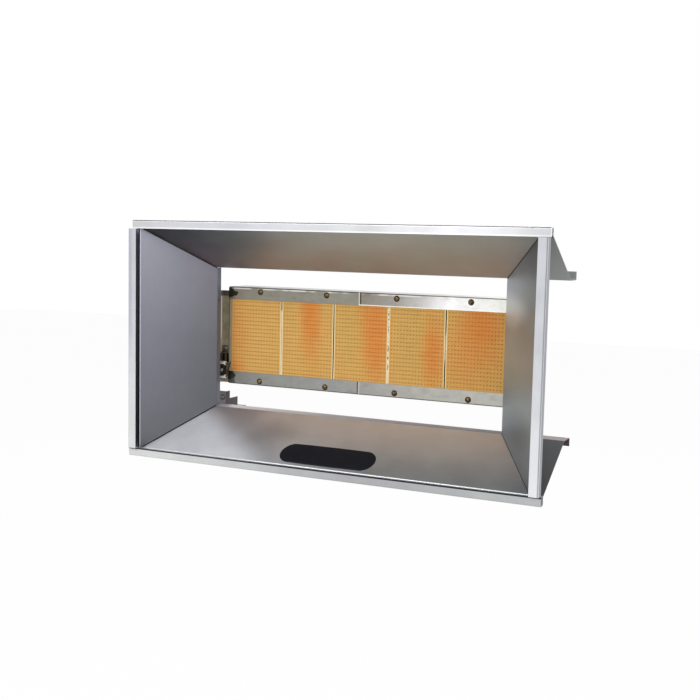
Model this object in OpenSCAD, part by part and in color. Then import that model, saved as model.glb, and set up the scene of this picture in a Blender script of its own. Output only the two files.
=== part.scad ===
// Propane radiant heater: a funnel of four folded reflector panels round a row of ceramic burner tiles.
// The front opening faces -Y and Z is up. The origin is the centre of the four hanging holes, on the
// rear face of the two rear lips. The burner is sized from its tiles, and the frame from the burner.

/* [Front frame] */
// How far the front frame stands above and below the rear opening
frame_spread = 72.8; // [50:0.1:110]
// How far the front frame reaches out past the gas controls
frame_cover = 5.7; // [3:0.1:40]
// Height of the top and bottom rim faces
rim_face = 13; // [9:0.5:20]
// Depth of the folded rims from front to back
rim_depth = 11.5; // [9:0.5:18]
// Width of the side rim faces
side_rim_face = 14.5; // [10:0.5:20]
// How far the side rims stand in from the frame's ends
side_rim_inset = 1.5; // [0.5:0.5:5]
// How far the side rims stand in front of the top and bottom rims
side_rim_proud = 5.3; // [2:0.1:8]

/* [Reflector panels] */
// Thickness of the reflector sheet
sheet_t = 1; // [0.7:0.1:1.4]
// Mean radius of the sheet's bends
bend_r = 1.6; // [1.2:0.1:2.5]
// Depth of the funnel from the front rim to the rear opening
funnel_depth = 111; // [80:1:160]
// Gap between the burner and each side panel
side_gap = 3.3; // [2.5:0.1:8]
// Height of the open gaps above and below the burner
burner_gap = 33.2; // [20:0.1:60]
// Depth of the flat flange behind the top and bottom panels
rear_flange = 29; // [24:1:45]
// Height of the lip at the back of that flange
rear_lip = 12.3; // [10:0.1:20]
// Depth of the flat flange behind the side panels
side_flange = 10; // [8:0.5:16]
// Gap along the edges where the side panels meet the top and bottom panels
panel_seam = 0.4; // [0.3:0.1:1.5]
// How much shorter the top panel is at its left end
top_trim = 6; // [0:0.5:12]
// Length of a side panel's fixing tab
tab_l = 16; // [12:1:24]
// Width of a side panel's fixing tab
tab_w = 13; // [10:0.5:20]

/* [Hanging holes] */
// Distance of a hanging hole from the frame's end
hang_inset = 36; // [25:1:80]
// Distance of a hanging hole from the lip's edge
hang_edge = 5.3; // [4:0.1:7]
// Diameter of a hanging hole
hang_hole_d = 5.5; // [4:0.5:7]

/* [Ceramic tiles] */
// Width of one ceramic tile
tile_w = 92; // [70:0.5:120]
// Height of one ceramic tile
tile_h = 132; // [100:1:170]
// Thickness of one ceramic tile
tile_t = 13; // [10:0.5:18]
// Gap between two tiles
tile_gap = 2; // [1:0.1:4]
// Clearance round a tile
tile_fit = 0.3; // [0.1:0.1:0.5]
// Diameter of the pits in a tile's face
pit_d = 1.9; // [1.2:0.1:2.6]
// Depth of the pits
pit_depth = 1.4; // [0.6:0.1:4]
// Distance between pits along a row
pit_pitch_w = 5.2; // [4:0.1:10]
// Distance between the rows of pits
pit_pitch_h = 6.2; // [4:0.1:10]

/* [Burner box] */
// Margin of the burner box beyond the end tiles
box_end_gap = 6; // [5:0.5:15]
// Margin of the burner box above and below the tiles
box_margin_h = 14; // [12:0.5:24]
// Clear depth behind the mixing tube
mix_back_gap = 3.5; // [2:0.5:20]
// How far the burner's centre stands above the frame's centre
burner_rise = 2; // [0:0.5:6]
// Corner radius of the burner box
burner_corner_r = 4; // [2:0.5:8]
// Width of the ears at the burner box's ends
ear_w = 14; // [12:0.5:20]

/* [Clamp strips] */
// Height of a clamp strip
clamp_h = 20.3; // [17:0.1:26]
// Thickness of a clamp strip
clamp_t = 1; // [0.8:0.1:1.5]
// How far the right strips lap over the left ones
clamp_lap = 7; // [4:0.5:12]
// Distance of a clamp screw from the box's top or bottom edge
clamp_screw_edge = 7; // [5:0.5:8.5]

/* [Gas mixing tube] */
// Outer diameter of the mixing tube
mix_d = 29; // [22:0.5:34]
// Wall of the mixing tube
mix_wall = 1; // [0.8:0.1:1.6]
// Diameter of the tube's bell mouth
mix_bell_d = 42; // [38:1:50]
// Length of the tube outside the burner box
mix_out = 24; // [20:1:40]
// Length of the tube inside the burner box
mix_in = 190; // [120:5:240]
// Diameter of the tube's collar
mix_collar_d = 36; // [34:1:46]

/* [End brackets] */
// How far an end bracket stops short of the box's top and bottom
bracket_end_gap = 4; // [2:0.5:12]
// How far the end brackets' middle lies below the frame's centre
bracket_drop = 1; // [0:0.5:4]
// Width of an end bracket's front plate
bracket_plate = 12; // [10:0.5:14]

/* [Electrodes] */
// Diameter of an electrode's ceramic insulator
insulator_d = 6.5; // [5:0.5:8]
// Length of an electrode's ceramic insulator
insulator_l = 34; // [28:1:42]
// Diameter of an electrode's rod
rod_d = 2; // [1.5:0.1:2.5]
// Height of the spark electrode above the burner's bottom edge
spark_rise = 33.5; // [28:0.5:40]
// Distance from the spark electrode down to the flame sensor
electrode_pitch = 22; // [18:0.5:27]
// Diameter of an electrode's lead
lead_d = 5; // [4:0.5:6]

/* [Gas controls] */
// Depth of the control shelf
shelf_depth = 62; // [54:1:80]
// Width of the gas valve's body
valve_w = 43; // [36:1:60]
// Depth of the gas valve's body
valve_depth = 36; // [30:1:50]
// Height of the gas valve's body
valve_h = 35; // [29:1:50]
// Diameter of the valve's knob
knob_d = 28; // [22:1:34]
// Length of the valve's knob
knob_l = 17; // [14:1:24]
// Bore of the gas inlet
inlet_d = 18.6; // [14:0.1:22]
// Diameter of the supply pipe to the burner
pipe_d = 12; // [9:0.5:14]
// Width of the ignition module
module_w = 44; // [36:1:60]
// Depth of the ignition module
module_depth = 25; // [20:0.5:28]
// Height of the ignition module
module_h = 48; // [38:1:60]

/* [Screws] */
// Thread diameter of the sheet metal screws
screw_d = 3.8; // [3:0.1:4.5]
// Head diameter of the sheet metal screws
screw_head_d = 7.6; // [6:0.1:9]
// Head height of the sheet metal screws
screw_head_h = 2.4; // [1.8:0.1:3]
// Length of the sheet metal screws
screw_l = 7; // [5.5:0.5:9]

/* [Hidden] */
$fn = 48;
TILE_NODES = ["tile_1", "tile_2", "tile_3", "tile_4", "tile_5"];

// Running and seating clearances, and the overrun of every cut
fit = 0.1;
screw_fit = 0.2;
shaft_fit = 0.05;
overrun = 1;
bend_steps = 4;
wire_sides = 10;
half_t = sheet_t / 2;

// Row of tiles, the burner round it and the rear opening round the burner
tile_count = len(TILE_NODES);
tile_pitch = tile_w + tile_gap;
tile_span = tile_pitch * (tile_count - 1);
pit_edge = 2.5;
pit_cols = floor((tile_w / 2 - pit_d / 2 - pit_edge) / pit_pitch_w);
pit_rows = floor((tile_h / 2 - pit_d / 2 - pit_edge) / pit_pitch_h);
burner_w = tile_span + tile_w + 2 * box_end_gap;
burner_h = tile_h + 2 * box_margin_h;
rear_open_w = burner_w + 2 * side_gap;
rear_open_h = burner_h + 2 * burner_gap;
box_reach = burner_w / 2;
box_rise = burner_h / 2;

// Planes of the reflector, from front to back
front_y = -(funnel_depth + rear_flange);
side_front_y = front_y - side_rim_proud;
rear_y = front_y + funnel_depth;
side_rear_y = rear_y + side_flange;

// Burner's parts, measured from the clamp strips' front face
box_y = clamp_t;
ear_y = box_y + clamp_t;
flange_gap = 1;
box_flange = box_margin_h - flange_gap;
tile_y = box_y + tile_fit;
tile_back_y = tile_y + tile_t;
gasket_back = 1.2;
gasket_lap = 5;
ledge_t = 1.5;
ledge_w = box_margin_h + gasket_lap;
ledge_y = tile_back_y + gasket_back + fit;
window_rise = tile_h / 2 - gasket_lap;
plenum_gap = 0.4;
mix_y = ledge_y + ledge_t + plenum_gap + mix_d / 2;
burner_depth = mix_y + mix_d / 2 + mix_back_gap + sheet_t - box_y;

// Clamp strips and their screws, the screws as shares of the burner's width
strip_gap = 0.4;
strip_joggle = 2.5;
strip_corner_r = 3;
clamp_screw_z = box_rise - clamp_screw_edge;
clamp_screw_shares = [-0.375, -0.125, 0.125, 0.375];

// Mixing tube and the hat section that spreads the gas
bell_l = 14;
bell_bend_r = 10;
collar_t = 1.5;
baffle_end_gap = 12;
baffle_far_gap = 53;
baffle_l = burner_w - mix_in - baffle_end_gap - baffle_far_gap;
baffle_foot = 13;
baffle_rise = 22;
baffle_splay = 8;
baffle_side_gap = 14;
baffle_crown = burner_h - 2 * (sheet_t + baffle_side_gap + baffle_foot + baffle_splay);
baffle_hole_d = 8;
baffle_hole_pitch = 22;
baffle_bend_r = 2;

// End brackets: plate over the ear, web forward, leg on the side panel's flange
bracket_h = burner_h - 2 * bracket_end_gap;
bracket_z = -bracket_drop;
ear_inset_h = 1;
ear_rise = bracket_h / 2 - ear_inset_h;
bracket_y = ear_y - fit - half_t;
bracket_start_x = box_reach + strip_gap;
bracket_web_x = bracket_start_x + bracket_plate;
bracket_leg_x = rear_open_w / 2 + sheet_t + fit + half_t;
bracket_leg_gap = 1.6;
bracket_leg_y = side_rear_y - bracket_leg_gap;
bracket_joggle = 6;
bracket_path = [
    [bracket_start_x, bracket_y],
    [bracket_web_x, bracket_y],
    [bracket_web_x, bracket_leg_y + bracket_joggle],
    [bracket_leg_x, bracket_leg_y],
    [bracket_leg_x, rear_y + half_t]];
leg_screw_share = 0.4;
leg_screw_edge = 16;
leg_screw_y = rear_y + side_flange * leg_screw_share;
leg_screw_z = bracket_h / 2 - leg_screw_edge;
leg_screw_l = 3;

// Electrodes, in front of the left end bracket, as depths below the frame's centre
spark_drop = box_rise - burner_rise - spark_rise;
sensor_drop = spark_drop + electrode_pitch;
holder_stand = 5;
holder_t = 1;
holder_w = 10;
holder_l = 55;
holder_offset = 0.5;
holder_x = -bracket_start_x - bracket_plate / 2 + holder_offset;
holder_foot_gap = 4.5;
holder_bottom = sensor_drop + holder_foot_gap;
holder_top = holder_bottom - holder_l;
holder_foot = 9;
holder_slot_w = 5;
holder_slot_h = 12;
holder_slot_gap = 0.75;
holder_slot_top = spark_drop - insulator_d / 2 - holder_slot_gap - holder_slot_h;
holder_bend_r = 1.4;
holder_screw_z = -holder_top - holder_foot / 2;
holder_face_y = bracket_y - half_t - fit - holder_stand - holder_t;
insulator_y = holder_face_y - fit - insulator_d / 2;
insulator_out = 1.5;
insulator_tip_x = holder_x + holder_w / 2 + insulator_out;
insulator_back_x = insulator_tip_x - insulator_l;
insulator_bore = rod_d + 2 * fit;
rod_tail = 5;
clamp_block_y = 7;
clamp_block_gap = 1.2;
block_screw_end = 3;
// Bends of the two rods, as (x, z) steps from each insulator's tip
spark_bends = [[0, 0], [2, 0], [3, -3.5]];
sensor_bends = [[0, 0], [2.6, 2], [3.6, 10.5], [9.6, 25]];

// Orifice, elbow, pipe and valve, each placed from the one before, then the shelf under them
bell_x = -(box_reach + mix_out);
orifice_gap = 6;
orifice_l = 9;
orifice_bore = 1.6;
orifice_stem_d = 7;
orifice_tip_x = bell_x - orifice_gap;
elbow_d = 17;
elbow_arm_d = 15;
elbow_reach = 26.3;
elbow_pipe_grip = 8;
pipe_wall = 1;
outlet_x = orifice_tip_x - elbow_reach;
outlet_boss_d = 18;
outlet_boss_h = 5;
valve_x = outlet_x - valve_w / 2 + outlet_boss_d / 2;
valve_y = mix_y;
valve_corner_r = 5;
inlet_boss_d = 26;
inlet_boss_l = 4;
inlet_depth = 14;
bonnet_gap = 2;
bonnet_d = valve_w - outlet_boss_d - bonnet_gap;
bonnet_h = 9;
bonnet_edge_h = 3;
bonnet_taper = 2.25;
bonnet_cap_inset = 4;
bonnet_cap_d = bonnet_d - 2 * bonnet_cap_inset;
bonnet_cap_h = 4;
bonnet_x = valve_x - valve_w / 2 + bonnet_d / 2;
stem_d = 6;
stem_l = 12;
knob_gap = 0.5;
knob_base_h = 4;
knob_grip_w = 9;
knob_round_r = 4;
knob_core_d = 14;
lip_margin = 1;
shelf_end_inset = 1;
shelf_left_x = valve_x - valve_w / 2;
shelf_right_x = -rear_open_w / 2 + shelf_end_inset;
shelf_y = fit;
shelf_rise = 32;
shelf_step_rise = 19.5;
shelf_step_y = 10;
shelf_wall_l = 35;
shelf_bottom_z = -(rear_open_h / 2 + rear_lip - lip_margin);
shelf_top_z = shelf_bottom_z + shelf_rise;
shelf_step_z = shelf_bottom_z + shelf_step_rise;
shelf_screw_side = 7.7;
shelf_screw_drop = 10.3;
shelf_screw_x = shelf_right_x - shelf_screw_side;
shelf_screw_z = shelf_top_z - shelf_screw_drop;
shelf_screw_inset = 10;
shelf_screw_xs = [shelf_left_x + shelf_screw_inset, shelf_right_x - shelf_screw_inset];
lip_screw_z = rear_open_h / 2 + rear_lip / 2;
valve_floor_z = shelf_bottom_z + sheet_t + fit;
valve_axis_z = valve_floor_z + valve_h / 2;

// Leads from the electrodes to the ignition module, and the module over them
boot_d = 8;
boot_l = 13;
boot_gap = 0.3;
lead_turn_r = 13;
lead_run = 4.3;
lead_pitch = 12;
spark_lead_x = insulator_back_x - boot_gap - boot_l - lead_run;
sensor_lead_x = spark_lead_x - lead_pitch;
module_post_edge = 5;
module_x = spark_lead_x + module_post_edge - module_w / 2;
module_flange_gap = 2.5;
module_top_z = rear_open_h / 2 - module_flange_gap;
module_plate_t = 1;
module_plate_side = 2;
module_plate_foot = 4.7;
module_plate_w = module_w + 2 * module_plate_side;
module_plate_top = rear_open_h / 2 + rear_lip - lip_margin;
module_plate_bottom = module_top_z - module_h - module_plate_foot;
plate_screw_edge = 5;
plate_screw_xs = [module_x - module_plate_w / 2 + plate_screw_edge,
                  module_x + module_plate_w / 2 - plate_screw_edge];
module_corner_r = 2;
module_rib = 1.2;
module_rib_pitch = 7;
module_rib_count = 5;
module_rib_share = 0.6;
post_d = 3.5;
post_l = 6;
module_screw_l = 8;
module_screw_inset = 7.3;

// Front frame and hanging holes
frame_reach = frame_cover - shelf_left_x;
frame_rise = rear_open_h / 2 + frame_spread;
hang_x = frame_reach - hang_inset;
hang_z = rear_open_h / 2 + rear_lip - hang_edge;
hang_clear = 0.4;

// Mean lines of the folded panels: (y, z) for the top one and (x, y) for the right one
top_path = [
    [front_y + half_t, frame_rise - rim_face],
    [front_y + half_t, frame_rise - half_t],
    [front_y + rim_depth - half_t, frame_rise - half_t],
    [front_y + rim_depth - half_t, frame_rise - rim_face + half_t],
    [rear_y, rear_open_h / 2 + half_t],
    [-half_t, rear_open_h / 2 + half_t],
    [-half_t, rear_open_h / 2 + rear_lip]];
side_reach = frame_reach - side_rim_inset;
side_path = [
    [side_reach - side_rim_face, side_front_y + half_t],
    [side_reach - half_t, side_front_y + half_t],
    [side_reach - half_t, side_front_y + rim_depth - half_t],
    [side_reach - side_rim_face + half_t, side_front_y + rim_depth - half_t],
    [rear_open_w / 2 + half_t, rear_y],
    [rear_open_w / 2 + half_t, side_rear_y]];

// Slope of the top panel, and the height of its inner face at a given y
slope_start = top_path[3];
slope_end = top_path[4];
slope_rate = (slope_end[1] - slope_start[1]) / (slope_end[0] - slope_start[0]);
slope_a = atan(slope_rate);
slope_skin = half_t / cos(slope_a);
function panel_z(y) = slope_start[1] + slope_rate * (y - slope_start[0]);
function inner_z(y) = panel_z(y) - slope_skin;
// Distance of the side panel's mean line from the middle at a given y
side_start = side_path[3];
side_end = side_path[4];
side_rate = (side_end[0] - side_start[0]) / (side_end[1] - side_start[1]);
function panel_x(y) = side_start[0] + side_rate * (y - side_start[1]);

// Fixing tabs, as shares of the slope's depth
tab_shares = [0.2, 0.8];
tab_hole_share = 0.62;
function tab_y(share) = slope_start[0] + share * (slope_end[0] - slope_start[0]);
tab_screw_l = 5;

// Unit vector from one point to another, and the normal on a unit vector's left
function unit(p, q) = (q - p) / norm(q - p);
function left_of(u) = [-u[1], u[0]];

// One side of a folded sheet's bend at b, between the legs from a and to c
function bend_side(a, b, c, r, side, t) =
    let (u = unit(a, b), v = unit(b, c),
         turn = atan2(u[0] * v[1] - u[1] * v[0], u * v),
         way = sign(turn),
         centre = b - u * r * tan(abs(turn) / 2) + way * r * left_of(u),
         out = -way * left_of(u),
         reach = r - way * side * t / 2)
    [for (k = [0 : bend_steps])
        let (g = turn * k / bend_steps)
        centre + reach * [out[0] * cos(g) - out[1] * sin(g), out[0] * sin(g) + out[1] * cos(g)]];

function sheet_side(path, r, side, t) =
    let (last = len(path) - 1)
    concat(
        [path[0] + side * t / 2 * left_of(unit(path[0], path[1]))],
        [for (i = [1 : last - 1]) each bend_side(path[i - 1], path[i], path[i + 1], r, side, t)],
        [path[last] + side * t / 2 * left_of(unit(path[last - 1], path[last]))]);

function reversed(list) = [for (i = [len(list) - 1 : -1 : 0]) list[i]];

// Section of a sheet of thickness t folded along a mean line with bends of mean radius r
module folded(path, r, t)
    polygon(concat(sheet_side(path, r, 1, t), reversed(sheet_side(path, r, -1, t))));

// Outlines drawn in (y, z), (x, y) or (x, z) and made solid along the third axis
module along_x(x0, x1) translate([x0, 0, 0]) rotate([90, 0, 90]) linear_extrude(x1 - x0) children();
module along_y(y0, y1) translate([0, y1, 0]) rotate([90, 0, 0]) linear_extrude(y1 - y0) children();
module along_z(z0, z1) translate([0, 0, z0]) linear_extrude(z1 - z0) children();

module both_sides() {
    children();
    mirror([1, 0, 0]) children();
}

module both_heights() {
    children();
    mirror([0, 0, 1]) children();
}

module box(from, to) translate(from) cube(to - from);

module rounded_rect(w, h, r) {
    square([w - 2 * r, h], center = true);
    square([w, h - 2 * r], center = true);
    for (x = [-1, 1], y = [-1, 1]) translate([x * (w / 2 - r), y * (h / 2 - r)]) circle(r);
}

// Rod from p to q
module rod(p, q, d) {
    v = q - p;
    translate(p) rotate([0, acos(v[2] / norm(v)), atan2(v[1], v[0])]) cylinder(h = norm(v), d = d);
}

// Round wire along points (x, z) at one y, mitred at each bend
module swept(points, y, d) {
    last = len(points) - 1;
    rings = [for (i = [0 : last])
        let (a = unit(points[max(i, 1) - 1], points[max(i, 1)]),
             b = unit(points[min(i, last - 1)], points[min(i, last - 1) + 1]),
             mean = unit([0, 0], a + b),
             n = left_of(mean) / (mean * a))
        for (k = [0 : wire_sides - 1])
            let (g = 360 * k / wire_sides, q = points[i] + d / 2 * cos(g) * n)
            [q[0], y + d / 2 * sin(g), q[1]]];
    polyhedron(rings, concat(
        [[for (k = [wire_sides - 1 : -1 : 0]) k]],
        [for (i = [0 : last - 1], k = [0 : wire_sides - 1])
            let (m = (k + 1) % wire_sides, p = i * wire_sides)
            [p + k, p + m, p + wire_sides + m, p + wire_sides + k]],
        [[for (k = [0 : wire_sides - 1]) last * wire_sides + k]]));
}

// Domed screw along +Z, its head above z = 0 and its shank below
module screw(l, d = screw_d, head_d = screw_head_d, head_h = screw_head_h) {
    dome_r = (head_d * head_d / 4 + head_h * head_h) / (2 * head_h);
    dome_a = asin(head_d / 2 / dome_r);
    rotate_extrude() polygon(concat(
        [[0, -l], [d / 2 - fit, -l], [d / 2, -l + fit], [d / 2, 0], [head_d / 2, 0]],
        [for (k = [1 : bend_steps - 1])
            let (g = dome_a * (1 - k / bend_steps))
            [dome_r * sin(g), head_h - dome_r + dome_r * cos(g)]],
        [[0, head_h]]));
}

module burner_frame() translate([0, 0, burner_rise]) children();

// Places on the top panel over each fixing tab, with +Z out of the panel
module at_tabs() {
    for (share = tab_shares) both_sides()
        translate([panel_x(tab_y(share)) + tab_w * tab_hole_share, tab_y(share), panel_z(tab_y(share))])
            rotate([slope_a, 0, 0]) children();
}

module at_hanging_holes() both_sides()
    translate([hang_x, -half_t, hang_z]) rotate([90, 0, 0]) children();

// Top panel: rim channel, sloping sheet, rear flange and lip
module top_panel(trim = 0) {
    difference() {
        along_x(trim - frame_reach, frame_reach) folded(top_path, bend_r, sheet_t);
        at_hanging_holes() cylinder(h = sheet_t + 2 * overrun, d = hang_hole_d, center = true);
        at_tabs() cylinder(h = sheet_t + 2 * overrun, d = screw_d + 2 * screw_fit, center = true);
        children();
    }
}

// The right panel's outline from the side, with teeth that carry its fixing tabs
module side_outline() {
    front = side_front_y - overrun;
    back = side_rear_y + overrun;
    low = slope_start[0];
    high = slope_end[0];
    for (m = [0, 1]) mirror([0, m]) {
        polygon([[front, 0], [back, 0], [back, inner_z(high) - panel_seam],
                 [high, inner_z(high) - panel_seam], [low, inner_z(low) - panel_seam],
                 [front, inner_z(low) - panel_seam]]);
        for (share = tab_shares) tab_strip(share, 2 * panel_seam);
    }
}

// A strip of given depth along one tab, just under the top panel's inner face
module tab_strip(share, depth) {
    a = tab_y(share) - tab_l / 2 * cos(slope_a);
    b = tab_y(share) + tab_l / 2 * cos(slope_a);
    polygon([[a, inner_z(a) - fit], [b, inner_z(b) - fit],
             [b, inner_z(b) - fit - depth], [a, inner_z(a) - fit - depth]]);
}

module side_tab(share) {
    a = tab_y(share) - tab_l / 2 * cos(slope_a);
    b = tab_y(share) + tab_l / 2 * cos(slope_a);
    intersection() {
        along_x(0, frame_reach) tab_strip(share, sheet_t / cos(slope_a));
        along_z(0, frame_rise) polygon([[panel_x(a), a], [panel_x(a) + tab_w, a],
                                        [panel_x(b) + tab_w, b], [panel_x(b), b]]);
    }
}

module side_panel() {
    difference() {
        union() {
            intersection() {
                along_z(-frame_rise, frame_rise) folded(side_path, bend_r, sheet_t);
                along_x(0, frame_reach) side_outline();
            }
            for (share = tab_shares) both_heights() side_tab(share);
        }
        both_heights() at_tabs()
            cylinder(h = 2 * (sheet_t + slope_skin + overrun), d = screw_d, center = true);
        for (z = [-leg_screw_z, leg_screw_z]) translate([rear_open_w / 2 + half_t, leg_screw_y, z])
            rotate([0, 90, 0]) cylinder(h = sheet_t + 2 * overrun, d = screw_d, center = true);
    }
}

module top_reflector() color([0.62, 0.6, 0.58]) top_panel(top_trim) {
    for (x = plate_screw_xs) translate([x, -half_t, lip_screw_z]) rotate([90, 0, 0])
        cylinder(h = sheet_t + 2 * overrun, d = screw_d + 2 * screw_fit, center = true);
}

module bottom_reflector() color([0.66, 0.66, 0.66]) mirror([0, 0, 1]) top_panel() {
    for (x = shelf_screw_xs) translate([x, -half_t, lip_screw_z]) rotate([90, 0, 0])
        cylinder(h = sheet_t + 2 * overrun, d = screw_d + 2 * screw_fit, center = true);
}

module left_reflector() color([0.5, 0.52, 0.56]) mirror([1, 0, 0]) side_panel();

module right_reflector() color([0.58, 0.58, 0.57]) side_panel();

module tab_screws() color([0.75, 0.75, 0.76])
    both_heights() at_tabs() translate([0, 0, half_t]) screw(tab_screw_l);

// Steel box behind the tiles, with front flanges and an ear at each end
module burner_box() color([0.55, 0.54, 0.5]) {
    difference() {
        burner_frame() union() {
            difference() {
                along_y(box_y, box_y + burner_depth) rounded_rect(burner_w, burner_h, burner_corner_r);
                along_y(box_y + sheet_t, box_y + burner_depth - sheet_t) box_section(sheet_t);
                along_y(box_y - overrun, box_y + 2 * sheet_t)
                    square([burner_w - 2 * sheet_t, burner_h - 2 * box_flange], center = true);
            }
            both_sides() translate([0, 0, bracket_z - burner_rise])
                box([box_reach - half_t, ear_y, -ear_rise],
                    [box_reach + ear_w, ear_y + sheet_t, ear_rise]);
        }
        burner_frame() at_clamp_screws()
            cylinder(h = 2 * (sheet_t + clamp_t + overrun), d = screw_d, center = true);
        burner_frame() translate([-box_reach, mix_y, 0]) rotate([0, 90, 0])
            cylinder(h = 2 * (sheet_t + overrun), d = mix_d + 2 * fit, center = true);
        translate([holder_x, ear_y, holder_screw_z]) rotate([90, 0, 0])
            cylinder(h = 2 * (sheet_t + overrun), d = screw_d, center = true);
    }
}

// The box's outline, drawn in by an inset
module box_section(inset)
    rounded_rect(burner_w - 2 * inset, burner_h - 2 * inset, burner_corner_r - sheet_t);

// Frame inside the box that the tiles rest back against
module tile_ledge() color([0.6, 0.6, 0.58]) burner_frame()
    along_y(ledge_y, ledge_y + ledge_t) difference() {
        box_section(sheet_t + fit);
        square([burner_w - 2 * (ledge_w - gasket_lap), burner_h - 2 * ledge_w], center = true);
    }

// Fibre packing round and between the tiles
module tile_gasket() color([0.9, 0.85, 0.68]) burner_frame() difference() {
    union() {
        along_y(box_y + sheet_t + fit, ledge_y - fit) box_section(sheet_t + fit);
        along_y(tile_y, box_y + 2 * sheet_t)
            square([burner_w - 2 * (sheet_t + fit), burner_h - 2 * (box_flange + fit)], center = true);
    }
    for (i = [0 : tile_count - 1]) translate([tile_x(i), 0, 0]) {
        along_y(tile_y - overrun, tile_back_y + fit)
            square([tile_w + tile_fit, tile_h + tile_fit], center = true);
        along_y(tile_back_y, ledge_y + overrun)
            square([tile_w - 2 * gasket_lap, 2 * window_rise], center = true);
    }
    at_clamp_screws() cylinder(h = 2 * (screw_l + overrun), d = screw_d + 2 * fit, center = true);
}

function tile_x(i) = tile_pitch * i - tile_span / 2;

// One ceramic tile, its face pitted in rows
module tile(i) color([0.83, 0.62, 0.34]) burner_frame() translate([tile_x(i), 0, 0]) {
    along_y(tile_y + pit_depth, tile_back_y) square([tile_w, tile_h], center = true);
    along_y(tile_y, tile_y + pit_depth) difference() {
        square([tile_w, tile_h], center = true);
        for (x = [-pit_cols : pit_cols], z = [-pit_rows : pit_rows])
            translate([x * pit_pitch_w, z * pit_pitch_h]) circle(d = pit_d);
    }
}

module at_clamp_screws() {
    for (share = clamp_screw_shares) both_heights()
        translate([share * burner_w, 0, clamp_screw_z]) rotate([90, 0, 0]) children();
}

// Clamp strip over the tiles' top edges, right or left half
module clamp_strip(lapped) {
    inner = clamp_lap / 2;
    mean = clamp_t / 2;
    path = lapped
        ? [[-inner, -mean - fit], [inner + fit, -mean - fit], [inner + fit + strip_joggle, mean],
           [box_reach, mean]]
        : [[-box_reach, mean], [inner, mean]];
    difference() {
        intersection() {
            along_z(box_rise - clamp_h, box_rise) strip_section(path);
            along_y(-clamp_t - overrun, clamp_t + overrun) rounded_rect(burner_w, burner_h, strip_corner_r);
        }
        at_clamp_screws() cylinder(h = 2 * (clamp_t + overrun), d = screw_d + 2 * screw_fit, center = true);
    }
}

module strip_section(path) {
    if (len(path) > 2) folded(path, clamp_t, clamp_t);
    else translate([path[0][0], 0]) square([path[1][0] - path[0][0], clamp_t]);
}

module clamp_top_left() color([0.62, 0.58, 0.53]) burner_frame() clamp_strip(false);

module clamp_top_right() color([0.75, 0.74, 0.73]) burner_frame() clamp_strip(true);

module clamp_bottom_left() color([0.55, 0.54, 0.49]) burner_frame() mirror([0, 0, 1]) clamp_strip(false);

module clamp_bottom_right() color([0.6, 0.58, 0.55]) burner_frame() mirror([0, 0, 1]) clamp_strip(true);

module clamp_screws() color([0.72, 0.56, 0.3]) burner_frame() at_clamp_screws() screw(screw_l);

// Mixing tube with a bell mouth and a collar against the box's end
module mixing_tube() color([0.66, 0.66, 0.66]) burner_frame()
    translate([-box_reach, mix_y, 0]) rotate([0, 90, 0]) {
        rotate_extrude() folded([[(mix_bell_d - mix_wall) / 2, -mix_out],
                                 [(mix_d - mix_wall) / 2, -mix_out + bell_l],
                                 [(mix_d - mix_wall) / 2, mix_in]], bell_bend_r, mix_wall);
        translate([0, 0, -fit - collar_t]) difference() {
            cylinder(h = collar_t, d = mix_collar_d);
            translate([0, 0, -overrun]) cylinder(h = collar_t + 2 * overrun, d = mix_d - mix_wall);
        }
    }

// Perforated hat section that spreads the gas
module gas_baffle() {
    back = box_y + burner_depth - sheet_t - fit - half_t;
    top = back - baffle_rise;
    crown = baffle_crown / 2;
    start = mix_in - box_reach + baffle_end_gap;
    color([0.6, 0.6, 0.6]) burner_frame() difference() {
        along_x(start, start + baffle_l)
            folded([[back, -crown - baffle_splay - baffle_foot], [back, -crown - baffle_splay],
                    [top, -crown], [top, crown], [back, crown + baffle_splay],
                    [back, crown + baffle_splay + baffle_foot]], baffle_bend_r, sheet_t);
        for (x = [1 : floor(baffle_l / baffle_hole_pitch) - 1], z = [-1, 0, 1])
            translate([start + x * baffle_hole_pitch, top, z * baffle_hole_pitch]) rotate([90, 0, 0])
                cylinder(h = sheet_t + 2 * overrun, d = baffle_hole_d, center = true);
    }
}

// Folded bracket that carries one end of the burner box on a side panel's flange
module end_bracket() {
    difference() {
        translate([0, 0, bracket_z]) along_z(-bracket_h / 2, bracket_h / 2)
            folded(bracket_path, bend_r, sheet_t);
        for (z = [-leg_screw_z, leg_screw_z]) translate([bracket_leg_x, leg_screw_y, z])
            rotate([0, 90, 0])
                cylinder(h = sheet_t + 2 * overrun, d = screw_d + 2 * screw_fit, center = true);
    }
}

module left_end_bracket() color([0.5, 0.48, 0.42]) difference() {
    mirror([1, 0, 0]) end_bracket();
    translate([holder_x, bracket_y, holder_screw_z]) rotate([90, 0, 0])
        cylinder(h = sheet_t + 2 * overrun, d = screw_d + 2 * screw_fit, center = true);
    for (drop = [spark_drop, sensor_drop]) translate([-bracket_web_x, insulator_y, -drop])
        rotate([0, 90, 0])
            cylinder(h = 2 * (sheet_t + overrun), d = insulator_d + 2 * screw_fit, center = true);
}

module right_end_bracket() color([0.56, 0.55, 0.52]) end_bracket();

module bracket_screws() color([0.8, 0.8, 0.8])
    for (z = [-leg_screw_z, leg_screw_z]) both_sides()
        translate([bracket_leg_x + half_t, leg_screw_y, z]) rotate([0, 90, 0]) screw(leg_screw_l);

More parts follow.
